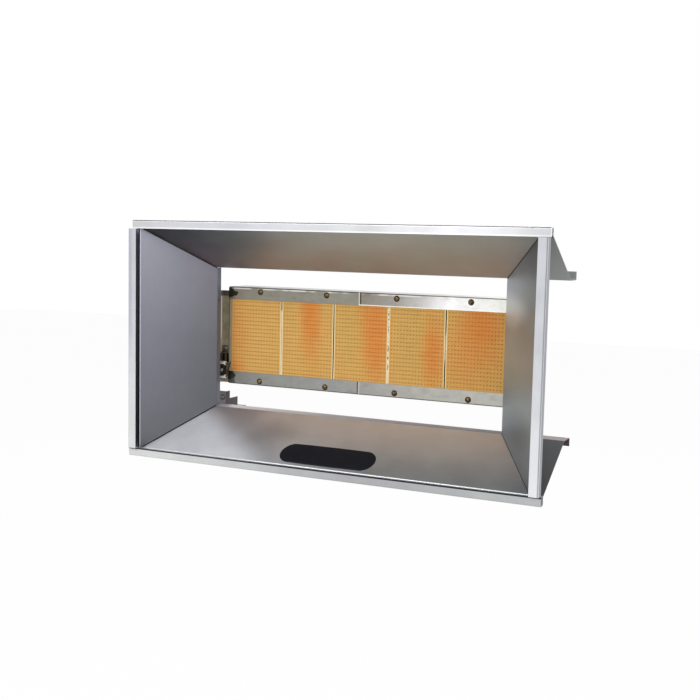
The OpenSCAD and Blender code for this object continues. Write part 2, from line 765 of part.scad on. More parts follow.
// Stood-off strip with a slot that holds the two electrodes
module electrode_bracket() color([0.42, 0.4, 0.36]) {
    foot = bracket_y - half_t - fit - holder_t / 2;
    face = holder_face_y + holder_t / 2;
    difference() {
        along_x(holder_x - holder_w / 2, holder_x + holder_w / 2)
            folded([[foot, -holder_top], [foot, -holder_top - holder_foot - holder_t],
                    [face, -holder_top - holder_foot - holder_t - holder_bend_r],
                    [face, -holder_bottom]], holder_bend_r, holder_t);
        translate([holder_x, foot, holder_screw_z]) rotate([90, 0, 0])
            cylinder(h = 2 * (holder_t + overrun), d = screw_d + 2 * screw_fit, center = true);
        box([holder_x - holder_slot_w / 2, holder_face_y - overrun, -holder_slot_top - holder_slot_h],
            [holder_x + holder_slot_w / 2, holder_face_y + holder_t + overrun, -holder_slot_top]);
        translate([holder_x, face, -(spark_drop + sensor_drop) / 2]) rotate([90, 0, 0])
            cylinder(h = 2 * (holder_t + overrun), d = screw_d, center = true);
    }
}

// Block with two grooves that the insulators nest in
module electrode_clamp() color([0.12, 0.11, 0.1]) {
    mid = -(spark_drop + sensor_drop) / 2;
    rise = (sensor_drop - spark_drop) / 2 - clamp_block_gap;
    difference() {
        box([holder_x - holder_w / 2, holder_face_y - fit - clamp_block_y, mid - rise],
            [holder_x + holder_w / 2, holder_face_y - fit, mid + rise]);
        for (drop = [spark_drop, sensor_drop])
            translate([holder_x, insulator_y, -drop]) rotate([0, 90, 0])
                cylinder(h = holder_w + 2 * overrun, d = insulator_d + 2 * fit, center = true);
        translate([holder_x, holder_face_y - clamp_block_y / 2, mid]) rotate([90, 0, 0])
            cylinder(h = clamp_block_y + 2 * overrun, d = screw_d + 2 * screw_fit, center = true);
    }
}

module electrode_screws() color([0.85, 0.85, 0.85]) {
    translate([holder_x, bracket_y - half_t - fit - holder_t, holder_screw_z]) rotate([90, 0, 0]) screw(screw_l);
    translate([holder_x, holder_face_y - fit - clamp_block_y, -(spark_drop + sensor_drop) / 2])
        rotate([90, 0, 0]) screw(clamp_block_y + block_screw_end);
}

module insulator(drop) translate([insulator_back_x, insulator_y, -drop]) rotate([0, 90, 0]) difference() {
    cylinder(h = insulator_l, d = insulator_d);
    translate([0, 0, -overrun]) cylinder(h = insulator_l + 2 * overrun, d = insulator_bore);
}

// Bent rod through an insulator, its tail out of the back
module electrode_rod(drop, bends)
    swept(concat([[insulator_back_x - rod_tail, -drop]],
                 [for (b = bends) [insulator_tip_x + b[0], -drop + b[1]]]), insulator_y, rod_d);

module spark_insulator() color([0.93, 0.92, 0.88]) insulator(spark_drop);

module sensor_insulator() color([0.93, 0.92, 0.88]) insulator(sensor_drop);

module spark_rod() color([0.15, 0.13, 0.12]) electrode_rod(spark_drop, spark_bends);

module sensor_rod() color([0.15, 0.13, 0.12]) electrode_rod(sensor_drop, sensor_bends);

// Lead from a post under the module down to the back of an electrode
module electrode_lead(x, drop) {
    top = module_top_z - module_h - boot_gap;
    tip = insulator_back_x - boot_gap;
    turn_z = -drop + lead_turn_r;
    difference() {
        union() {
            translate([x, insulator_y, turn_z]) cylinder(h = top - turn_z, d = lead_d);
            translate([x, insulator_y, top - boot_l]) cylinder(h = boot_l, d = boot_d);
            translate([x + lead_turn_r, insulator_y, turn_z]) rotate([90, 0, 0])
                rotate([0, 0, 180]) rotate_extrude(angle = 90) translate([lead_turn_r, 0]) circle(d = lead_d);
            rod([x + lead_turn_r, insulator_y, -drop], [tip - boot_l / 2, insulator_y, -drop], lead_d);
            rod([tip - boot_l, insulator_y, -drop], [tip, insulator_y, -drop], boot_d);
        }
        rod([tip - rod_tail - fit, insulator_y, -drop], [tip + overrun, insulator_y, -drop], rod_d + 2 * fit);
        translate([x, insulator_y, top - post_l - fit]) cylinder(h = post_l + fit + overrun, d = post_d + 2 * fit);
    }
}

module spark_lead() color([0.2, 0.2, 0.22]) electrode_lead(spark_lead_x, spark_drop);

module sensor_lead() color([0.55, 0.2, 0.15]) electrode_lead(sensor_lead_x, sensor_drop);

// Room for a hanger behind each of the top lip's holes
module hanger_clearance() at_hanging_holes()
    cylinder(h = 2 * (2 * sheet_t + overrun), d = hang_hole_d + 2 * hang_clear, center = true);

// Tray behind the bottom lip with a stepped right wall
module control_shelf() color([0.35, 0.35, 0.37]) difference() {
    union() {
        along_y(shelf_y, shelf_y + sheet_t)
            polygon([[shelf_left_x, shelf_bottom_z], [shelf_right_x, shelf_bottom_z],
                     [shelf_right_x, shelf_top_z], [shelf_left_x, shelf_top_z]]);
        box([shelf_left_x, shelf_y, shelf_bottom_z],
            [shelf_right_x, shelf_y + shelf_depth, shelf_bottom_z + sheet_t]);
        along_x(shelf_right_x - sheet_t, shelf_right_x)
            polygon([[shelf_y, shelf_bottom_z], [shelf_y + shelf_wall_l, shelf_bottom_z],
                     [shelf_y + shelf_wall_l, shelf_step_z], [shelf_y + shelf_step_y, shelf_step_z],
                     [shelf_y + shelf_step_y, shelf_top_z], [shelf_y, shelf_top_z]]);
    }
    translate([shelf_screw_x, shelf_y, shelf_screw_z]) rotate([90, 0, 0])
        cylinder(h = 2 * (sheet_t + overrun), d = screw_d, center = true);
    for (x = shelf_screw_xs) translate([x, shelf_y, -lip_screw_z]) rotate([90, 0, 0])
        cylinder(h = 2 * (sheet_t + overrun), d = screw_d, center = true);
    mirror([0, 0, 1]) hanger_clearance();
}

module shelf_screws() color([0.6, 0.6, 0.62]) {
    translate([shelf_screw_x, shelf_y, shelf_screw_z]) rotate([90, 0, 0]) screw(screw_l);
    for (x = shelf_screw_xs) translate([x, -sheet_t, -lip_screw_z]) rotate([90, 0, 0]) screw(screw_l);
}

// Cast valve body with inlet, outlet and stem
module gas_valve() color([0.7, 0.7, 0.72]) difference() {
    union() {
        translate([valve_x, valve_y, 0]) along_z(valve_floor_z, valve_floor_z + valve_h)
            rounded_rect(valve_w, valve_depth, valve_corner_r);
        rod([valve_x - valve_w / 2 - inlet_boss_l, valve_y, valve_axis_z], [valve_x, valve_y, valve_axis_z],
            inlet_boss_d);
        translate([outlet_x, valve_y, valve_floor_z + valve_h - half_t])
            cylinder(h = outlet_boss_h + half_t, d = outlet_boss_d);
        rod([valve_x, valve_y, valve_axis_z],
            [valve_x, valve_y + valve_depth / 2 + knob_gap + stem_l, valve_axis_z], stem_d);
    }
    rod([valve_x - valve_w / 2 - inlet_boss_l - overrun, valve_y, valve_axis_z],
        [valve_x - valve_w / 2 - inlet_boss_l + inlet_depth, valve_y, valve_axis_z], inlet_d);
    translate([outlet_x, valve_y, valve_floor_z + valve_h - elbow_pipe_grip])
        cylinder(h = elbow_pipe_grip + outlet_boss_h + overrun, d = pipe_d + 2 * fit);
}

// Round diaphragm cover with a screw cap
module valve_bonnet() color([0.62, 0.62, 0.64])
    translate([bonnet_x, valve_y, valve_floor_z + valve_h + fit]) rotate_extrude() polygon([
        [0, 0], [bonnet_d / 2, 0], [bonnet_d / 2, bonnet_edge_h], [bonnet_d / 2 - bonnet_taper, bonnet_h],
        [bonnet_cap_d / 2, bonnet_h], [bonnet_cap_d / 2, bonnet_h + bonnet_cap_h], [0, bonnet_h + bonnet_cap_h]]);

// Knob with a grip bar across a round skirt
module valve_knob() color([0.1, 0.1, 0.1]) difference() {
    start = valve_y + valve_depth / 2 + knob_gap;
    translate([valve_x, 0, valve_axis_z]) union() {
        along_y(start, start + knob_base_h) circle(d = knob_d);
        along_y(start + knob_base_h - half_t, start + knob_l)
            rounded_rect(knob_d - knob_round_r, knob_grip_w, knob_round_r);
        along_y(start, start + knob_l - knob_round_r) circle(d = knob_core_d);
    }
    rod([valve_x, start - overrun, valve_axis_z], [valve_x, start + stem_l + fit, valve_axis_z],
        stem_d + 2 * shaft_fit);
}

// Pipe from the valve's outlet up to the elbow
module supply_pipe() color([0.75, 0.75, 0.76]) difference() {
    bottom = valve_floor_z + valve_h - elbow_pipe_grip + fit;
    top = burner_rise - fit;
    translate([outlet_x, valve_y, bottom]) cylinder(h = top - bottom, d = pipe_d);
    translate([outlet_x, valve_y, bottom - overrun])
        cylinder(h = top - bottom + 2 * overrun, d = pipe_d - 2 * pipe_wall);
}

// Brass elbow with the gas orifice that points into the bell mouth
module orifice_elbow() color([0.78, 0.62, 0.32]) {
    tip = orifice_tip_x;
    difference() {
        union() {
            translate([outlet_x, valve_y, burner_rise - elbow_d]) cylinder(h = elbow_d, d = elbow_d);
            translate([outlet_x, valve_y, burner_rise]) sphere(d = elbow_d);
            rod([outlet_x, valve_y, burner_rise], [tip - orifice_l / 2, valve_y, burner_rise], elbow_arm_d);
            rod([outlet_x, valve_y, burner_rise], [tip, valve_y, burner_rise], orifice_stem_d);
        }
        translate([outlet_x, valve_y, burner_rise - elbow_d - overrun])
            cylinder(h = elbow_d + overrun, d = pipe_d + 2 * fit);
        rod([outlet_x, valve_y, burner_rise], [tip + overrun, valve_y, burner_rise], orifice_bore);
    }
}

// Plate behind the top lip that carries the ignition module
module module_bracket() color([0.6, 0.6, 0.62]) difference() {
    box([module_x - module_plate_w / 2, fit, module_plate_bottom],
        [module_x + module_plate_w / 2, fit + module_plate_t, module_plate_top]);
    at_module_screws() cylinder(h = 2 * (module_plate_t + overrun), d = screw_d, center = true);
    for (x = plate_screw_xs) translate([x, fit, lip_screw_z]) rotate([90, 0, 0])
        cylinder(h = 2 * (module_plate_t + overrun), d = screw_d, center = true);
    hanger_clearance();
}

module at_module_screws() {
    for (x = [-1, 1]) translate([module_x + x * (module_w / 2 - module_screw_inset), fit + module_plate_t,
                                 module_top_z - module_h / 2]) rotate([-90, 0, 0]) children();
}

// Ribbed plastic case with two terminal posts underneath
module ignition_module() color([0.13, 0.13, 0.14]) difference() {
    rib_mid_z = module_top_z - module_h / 2;
    rib_reach = module_h * module_rib_share / 2;
    union() {
        translate([module_x, 0, module_top_z - module_h / 2])
            along_y(-module_depth, 0) rounded_rect(module_w, module_h, module_corner_r);
        for (i = [0 : module_rib_count - 1])
            translate([module_x + (i - (module_rib_count - 1) / 2) * module_rib_pitch, 0, 0])
                box([-module_rib / 2, -module_depth - module_rib, rib_mid_z - rib_reach],
                    [module_rib / 2, -module_depth + half_t, rib_mid_z + rib_reach]);
        for (x = [spark_lead_x, sensor_lead_x])
            translate([x, insulator_y, module_top_z - module_h - boot_gap - post_l])
                cylinder(h = post_l + boot_gap + half_t, d = post_d);
    }
    at_module_screws() cylinder(h = 2 * module_screw_l, d = screw_d, center = true);
}

module module_screws() color([0.8, 0.8, 0.8]) {
    at_module_screws() screw(module_screw_l);
    for (x = plate_screw_xs) translate([x, -sheet_t, lip_screw_z]) rotate([90, 0, 0]) screw(screw_l);
}

top_reflector();
bottom_reflector();
left_reflector();
right_reflector();
tab_screws();
burner_box();
tile_ledge();
tile_gasket();
for (i = [0 : tile_count - 1]) tile(i);
clamp_top_left();
clamp_top_right();
clamp_bottom_left();
clamp_bottom_right();
clamp_screws();
mixing_tube();
gas_baffle();
left_end_bracket();
right_end_bracket();
bracket_screws();
electrode_bracket();
electrode_clamp();
electrode_screws();
spark_insulator();
spark_rod();
sensor_insulator();
sensor_rod();
spark_lead();
sensor_lead();
control_shelf();
shelf_screws();
gas_valve();
valve_bonnet();
valve_knob();
supply_pipe();
orifice_elbow();
module_bracket();
ignition_module();
module_screws();
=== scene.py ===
import bpy
import numpy as np
from mathutils import Matrix, Vector


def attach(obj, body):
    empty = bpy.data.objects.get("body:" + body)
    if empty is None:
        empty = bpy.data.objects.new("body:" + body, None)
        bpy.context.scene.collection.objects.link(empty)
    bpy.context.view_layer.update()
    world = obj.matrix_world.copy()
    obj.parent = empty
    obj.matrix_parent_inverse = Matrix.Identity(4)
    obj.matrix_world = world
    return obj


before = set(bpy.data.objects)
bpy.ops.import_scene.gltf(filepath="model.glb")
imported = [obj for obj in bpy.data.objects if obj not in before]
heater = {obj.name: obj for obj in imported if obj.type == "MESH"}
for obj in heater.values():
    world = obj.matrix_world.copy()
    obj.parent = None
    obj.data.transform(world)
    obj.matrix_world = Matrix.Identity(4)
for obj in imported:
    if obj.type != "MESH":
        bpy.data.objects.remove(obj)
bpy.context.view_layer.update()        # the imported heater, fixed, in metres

print("frame: %d sub-parts" % len(heater))

mm = 0.001


# camera, lamps, floor and sky, in metres and in the part's frame

viewpoint = {
    "place": (0.72891, -1.56378, 0.16836),
    "right": (0.9013214, 0.43258108, 0.02221123),
    "up": (-0.06400438, 0.08229284, 0.99455082),
    "back": (0.42839604, -0.89783156, 0.10185938),
    "lens": 57.21, "sensor": 36, "farthest": 60,
}

studio = {
    "floorHeight": -0.62,
    "floorSize": 14.0,
    "floorTint": (0.86, 0.86, 0.86),
    "floorWhite": 0.96,
    "skyForLight": 0.55,
    "lamps": [
        # name, place, aim, width, height, watts
        ("keySoftbox", (-1.1, -2.3, 1.5), (0, -0.05, 0), 1.6, 1.2, 42),
        ("fillSoftbox", (1.9, -1.6, 0.7), (0, -0.05, 0), 1.4, 1.4, 16),
        ("rearSoftbox", (0.3, 1.8, 1.4), (0, 0, 0), 1.6, 1.0, 20),
    ],
}


def placeCamera(spec):
    camera = bpy.data.cameras.new("photoCamera")
    camera.lens = spec["lens"]
    camera.sensor_width = spec["sensor"]
    camera.clip_end = spec["farthest"]
    holder = bpy.data.objects.new("photoCamera", camera)
    bpy.context.scene.collection.objects.link(holder)
    rows = zip(spec["right"], spec["up"], spec["back"], spec["place"])
    holder.matrix_world = Matrix([*rows, (0, 0, 0, 1)])
    bpy.context.scene.camera = holder


def hangLamp(name, place, aim, width, height, watts):
    lamp = bpy.data.lights.new(name, "AREA")
    lamp.shape = "RECTANGLE"
    lamp.size = width
    lamp.size_y = height
    lamp.energy = watts
    holder = bpy.data.objects.new(name, lamp)
    bpy.context.scene.collection.objects.link(holder)
    holder.location = place
    holder.rotation_euler = (Vector(aim) - Vector(place)).to_track_quat("-Z", "Y").to_euler()


def feed(tree, value, socket):
    if isinstance(value, bpy.types.NodeSocket):
        tree.links.new(value, socket)
    else:
        socket.default_value = value


def addNode(tree, kind, **values):
    # a value goes to the node's own property of that name, else to its input of that name
    made = tree.nodes.new(kind)
    for key, value in values.items():
        if hasattr(made, key):
            setattr(made, key, value)
        else:
            feed(tree, value, made.inputs[key])
    return made


def calc(tree, operation, *values):
    made = tree.nodes.new("ShaderNodeMath")
    made.operation = operation
    for value, socket in zip(values, made.inputs):
        feed(tree, value, socket)
    return made.outputs[0]


def chain(tree, operation, values):
    result = values[0]
    for value in values[1:]:
        result = calc(tree, operation, result, value)
    return result


def times(tree, *values):
    return chain(tree, "MULTIPLY", values)


def most(tree, *values):
    return chain(tree, "MAXIMUM", values)


def hypot(tree, first, second):
    return calc(tree, "SQRT", calc(tree, "ADD", times(tree, first, first), times(tree, second, second)))


def sway(tree, value, amount):
    # a noise value as a shift to both sides of zero
    return times(tree, calc(tree, "SUBTRACT", value, 0.5), amount)


def fade(tree, value, start, end, atStart=0.0, atEnd=1.0):
    # smooth step between two values of the input, which may rise or fall
    made = tree.nodes.new("ShaderNodeMapRange")
    made.interpolation_type = "SMOOTHSTEP"
    for given, socket in zip((value, start, end, atStart, atEnd), made.inputs):
        feed(tree, given, socket)
    return made.outputs[0]


def tint(rgb):
    # screen colour 0 to 255 to linear light
    linear = [((c / 255 + 0.055) / 1.055) ** 2.4 if c > 10 else c / 255 / 12.92 for c in rgb]
    return (*linear, 1.0)


def blendTint(tree, share, first, second, how="MIX"):
    made = tree.nodes.new("ShaderNodeMix")
    made.data_type = "RGBA"
    made.blend_type = how
    feed(tree, share, made.inputs["Factor"])
    for given, socket in ((first, made.inputs[6]), (second, made.inputs[7])):
        feed(tree, given if isinstance(given, bpy.types.NodeSocket) else tint(given), socket)
    return made.outputs[2]


def ramp(tree, value, stops):
    # stops are (position, screen colour)
    made = tree.nodes.new("ShaderNodeValToRGB")
    points = made.color_ramp.elements
    while len(points) < len(stops):
        points.new(0.5)
    for point, (position, colour) in zip(points, stops):
        point.position = position
        point.color = tint(colour)
    feed(tree, value, made.inputs[0])
    return made.outputs[0]


def noise(tree, coords, scale, detail=3.0, roughness=0.55):
    made = tree.nodes.new("ShaderNodeTexNoise")
    for key, value in (("Vector", coords), ("Scale", scale), ("Detail", detail), ("Roughness", roughness)):
        feed(tree, value, made.inputs[key])
    return made.outputs[0]


def stretch(tree, coords, scale):
    made = tree.nodes.new("ShaderNodeMapping")
    feed(tree, coords, made.inputs["Vector"])
    feed(tree, scale, made.inputs["Scale"])
    return made.outputs[0]


def objectCoords(tree):
    place = tree.nodes.new("ShaderNodeTexCoord").outputs["Object"]
    split = tree.nodes.new("ShaderNodeSeparateXYZ")
    tree.links.new(place, split.inputs[0])
    return place, dict(zip("xyz", split.outputs))


def seenDirectly(tree):
    # 1 for rays that show a surface, 0 for those that only bring light
    rays = tree.nodes.new("ShaderNodeLightPath").outputs
    return most(tree, rays["Is Glossy Ray"], rays["Is Transmission Ray"], rays["Is Camera Ray"])


def mixShaders(tree, share, first, second, outputKind):
    mix = tree.nodes.new("ShaderNodeMixShader")
    for value, socket in zip((share, first.outputs[0], second.outputs[0]), mix.inputs):
        feed(tree, value, socket)
    feed(tree, mix.outputs[0], tree.nodes.new(outputKind).inputs[0])


def studioFloor(spec):
    half, height = spec["floorSize"] / 2, spec["floorHeight"]
    corners = [(-half, -half, height), (half, -half, height), (half, half, height), (-half, half, height)]
    mesh = bpy.data.meshes.new("studioFloor")
    mesh.from_pydata(corners, [], [(0, 1, 2, 3)])
    floor = bpy.data.objects.new("studioFloor", mesh)
    bpy.context.scene.collection.objects.link(floor)
    finish = bpy.data.materials.new("paleFloor")
    finish.use_nodes = True
    tree = finish.node_tree
    tree.nodes.clear()
    matt = addNode(tree, "ShaderNodeBsdfDiffuse", Color=(*spec["floorTint"], 1))
    bright = addNode(tree, "ShaderNodeEmission", Color=(1, 1, 1, 1), Strength=1.0)
    share = times(tree, seenDirectly(tree), spec["floorWhite"])
    mixShaders(tree, share, matt, bright, "ShaderNodeOutputMaterial")
    mesh.materials.append(finish)


def studioSky(spec):
    world = bpy.data.worlds.new("studioSky")
    bpy.context.scene.world = world
    world.use_nodes = True
    tree = world.node_tree
    tree.nodes.clear()
    dim = addNode(tree, "ShaderNodeBackground", Color=(1, 1, 1, 1), Strength=spec["skyForLight"])
    white = addNode(tree, "ShaderNodeBackground", Color=(1, 1, 1, 1), Strength=1.0)
    mixShaders(tree, seenDirectly(tree), dim, white, "ShaderNodeOutputWorld")


bpy.context.scene.view_settings.view_transform = "Standard"
placeCamera(viewpoint)
for lampFacts in studio["lamps"]:
    hangLamp(*lampFacts)
studioFloor(studio)
studioSky(studio)
print("studio: camera, %d lamps, floor and sky" % len(studio["lamps"]))


# shared effects, as node groups

def newGroup(name, inputs, outputs):
    group = bpy.data.node_groups.new(name, "ShaderNodeTree")
    for label, value in inputs.items():
        kind = "NodeSocketVector" if isinstance(value, tuple) else "NodeSocketFloat"
        group.interface.new_socket(label, in_out="INPUT", socket_type=kind).default_value = value
    for label in outputs:
        group.interface.new_socket(label, in_out="OUTPUT", socket_type="NodeSocketFloat")
    return group, group.nodes.new("NodeGroupInput").outputs, group.nodes.new("NodeGroupOutput").inputs


def buildMetalGrain():
    # fine rolling grain and a broad mottle, whose tone lies round 1
    group, given, result = newGroup("metalGrain", {
        "Grain Scale": (200.0, 900.0, 900.0), "Grain": 0.1, "Mottle": 0.15, "Mottle Size": 30.0,
    }, ["Tone", "Height", "Mottle"])
    place = group.nodes.new("ShaderNodeTexCoord").outputs["Object"]
    fine = noise(group, stretch(group, place, given["Grain Scale"]), 1.0, detail=4.0, roughness=0.6)
    broad = noise(group, place, given["Mottle Size"], roughness=0.5)
    both = calc(group, "ADD", sway(group, fine, given["Grain"]), sway(group, broad, given["Mottle"]))
    feed(group, calc(group, "ADD", 1.0, both), result["Tone"])
    feed(group, fine, result["Height"])
    feed(group, broad, result["Mottle"])
    return group


def buildSpot():
    # soft round patch: 1 inside its core, 0 outside its half widths
    group, given, result = newGroup("softSpot", {
        "Across": 0.0, "Up": 0.0, "Centre Across": 0.0, "Centre Up": 0.0,
        "Half Across": 0.01, "Half Up": 0.01, "Core": 0.4,
    }, ["Mask"])
    shares = []
    for label in ("Across", "Up"):
        away = calc(group, "SUBTRACT", given[label], given["Centre " + label])
        shares.append(calc(group, "DIVIDE", away, given["Half " + label]))
    feed(group, fade(group, hypot(group, *shares), given["Core"], 1.0, 1.0, 0.0), result["Mask"])
    return group


def buildHoleGrid():
    # rows of round holes on a pitch, counted from a centre: 1 in a hole, 0 between
    group, given, result = newGroup("holeGrid", {
        "Across": 0.0, "Up": 0.0, "Pitch Across": 0.0052, "Pitch Up": 0.0062,
        "Radius": 0.001, "Soft": 0.0003,
    }, ["Hole"])
    sides = []
    for label in ("Across", "Up"):
        pitch = given["Pitch " + label]
        cells = calc(group, "ADD", calc(group, "DIVIDE", given[label], pitch), 0.5)
        sides.append(sway(group, calc(group, "FRACT", cells), pitch))
    inner = calc(group, "SUBTRACT", given["Radius"], given["Soft"])
    outer = calc(group, "ADD", given["Radius"], given["Soft"])
    feed(group, fade(group, hypot(group, *sides), inner, outer, 1.0, 0.0), result["Hole"])
    return group


metalGrain = buildMetalGrain()
softSpot = buildSpot()
holeGrid = buildHoleGrid()


def useGroup(tree, group, values):
    made = tree.nodes.new("ShaderNodeGroup")
    made.node_tree = group
    for key, value in values.items():
        feed(tree, value, made.inputs[key])
    return made.outputs


def useGrain(tree, scale, grain, mottle, mottleSize):
    return useGroup(tree, metalGrain, {
        "Grain Scale": scale, "Grain": grain, "Mottle": mottle, "Mottle Size": mottleSize})


def spotMask(tree, across, up, spot):
    # a spot is (centre across, centre up, half across, half up, core, strength), in mm
    centreAcross, centreUp, halfAcross, halfUp, core, strength = spot
    mask = useGroup(tree, softSpot, {
        "Across": across, "Up": up, "Centre Across": centreAcross * mm, "Centre Up": centreUp * mm,
        "Half Across": halfAcross * mm, "Half Up": halfUp * mm, "Core": core})["Mask"]
    return times(tree, mask, strength)


def anySpot(tree, across, up, spots):
    return most(tree, *[spotMask(tree, across, up, spot) for spot in spots])


def axisValue(tree, axes, name):
    # |x| and |z| are distances to both sides of the middle
    return calc(tree, "ABSOLUTE", axes[name[1]]) if name.startswith("|") else axes[name]


def slanted(tree, axes, terms):
    # sum of the terms, each (axis, its zero in mm, weight)
    parts = [times(tree, calc(tree, "SUBTRACT", axisValue(tree, axes, name), zero * mm), weight)
             for name, zero, weight in terms]
    return chain(tree, "ADD", parts)


def maskOf(tree, axes, shapes):
    # product of the shapes, all in mm. An edge is (axis, where it is 0, where it is 1), and may
    # give two other strengths for these places. A spot is (two axes, centre across, centre up,
    # half across, half up, core).
    parts = []
    for name, *facts in shapes:
        if len(facts) == 5:
            parts.append(spotMask(tree, axes[name[0]], axes[name[1]], (*facts, 1.0)))
        else:
            start, end, *strengths = facts
            parts.append(fade(tree, axisValue(tree, axes, name), start * mm, end * mm, *strengths))
    return times(tree, *parts)


def paint(tree, colour, mask, strength, new):
    return blendTint(tree, times(tree, mask, strength), colour, new)


def paintMarks(tree, colour, axes, marks, share=0.0):
    # a mark is (colour, strength, its shapes), where a list of stops is a colour along the share
    for new, strength, *shapes in marks:
        painted = ramp(tree, share, new) if isinstance(new, list) else new
        colour = paint(tree, colour, maskOf(tree, axes, shapes), strength, painted)
    return colour


def newFinish(name, metallic=0.0, roughness=0.5, specular=0.5):
    finish = bpy.data.materials.new(name)
    finish.use_nodes = True
    tree = finish.node_tree
    shader = tree.nodes["Principled BSDF"]
    shader.inputs["Metallic"].default_value = metallic
    shader.inputs["Roughness"].default_value = roughness
    shader.inputs["Specular IOR Level"].default_value = specular
    return finish, tree, shader


def toned(tree, colour, tone):
    # colour times a tone near 1
    made = addNode(tree, "ShaderNodeVectorMath", operation="SCALE", Scale=tone)
    feed(tree, colour, made.inputs[0])
    return made.outputs[0]


def roughened(tree, shader, least, pattern, spread):
    rough = calc(tree, "ADD", least, times(tree, pattern, spread))
    tree.links.new(rough, shader.inputs["Roughness"])


def bumped(tree, shader, height, depth, strength):
    # the depth is in mm
    bump = addNode(tree, "ShaderNodeBump", Strength=strength, Distance=depth * mm, Height=height)
    tree.links.new(bump.outputs[0], shader.inputs["Normal"])


def dress(nodeNames, finish):
    for name in nodeNames:
        mesh = heater[name].data
        if len(mesh.materials):
            for slot in heater[name].material_slots:
                slot.material = finish
        else:
            mesh.materials.append(finish)


# reflector panels, lengths in mm

sheet = {
    "metallic": 0.8, "leastRough": 0.36, "roughSpread": 0.16,
    "grain": 0.16, "mottle": 0.22, "mottleSize": 26.0,
    "bumpDepth": 0.06, "bumpStrength": 0.5,
    "wanderScale": 9.0, "wander": 0.12,
    # the front colours are pure before the first of these places, the rear ones after the second
    "frontEnd": -135, "rearStart": -25,
}

# slanted distances: out of the right panel, to the left of a line over the bottom panel from
# (-243, -29) to (-90, -129), and inwards from the inner faces of the top and bottom panel
slants = {
    "beyond": [("x", 322.5, 1.0), ("y", -129, 0.79)],
    "corner": [("x", -243, -0.547), ("y", -29, -0.837)],
    "seam": [("|z|", 172.9, -1.0), ("y", -129, -0.598)],
}

# edges that several marks share, of the rear flange, the rim's inner leg and the rim's face
inFlange = ("y", -29.0, -28.0)
levelLeg = ("y", -128.5, -128.8)
levelFace = ("y", -138.4, -138.8)
uprightLeg = ("y", -134.2, -134.5)
uprightFace = ("y", -144.3, -144.7)
# the wings of the top and bottom panel beyond the right panel, which get painted light and shade
outside = ("beyond", 0.0, 2.0)
# the bottom panel's left corner, where a painted reflection lies and the sheet is less metallic
paintedReflectionCorner = ("corner", -12, 34)
# a painted shadow: the dark line along the seams where the side panels meet the top and bottom panel
seamShadow = ((16, 16, 17), 0.95, ("y", -131.0, -130.0), ("y", -29.5, -30.5), ("seam", 2.7, 2.1))

level = {"along": "x", "half": 336, "grainScale": (60.0, 900.0, 900.0), "face": levelFace}
upright = {"along": "z", "half": 186, "grainScale": (900.0, 900.0, 60.0), "face": uprightFace}
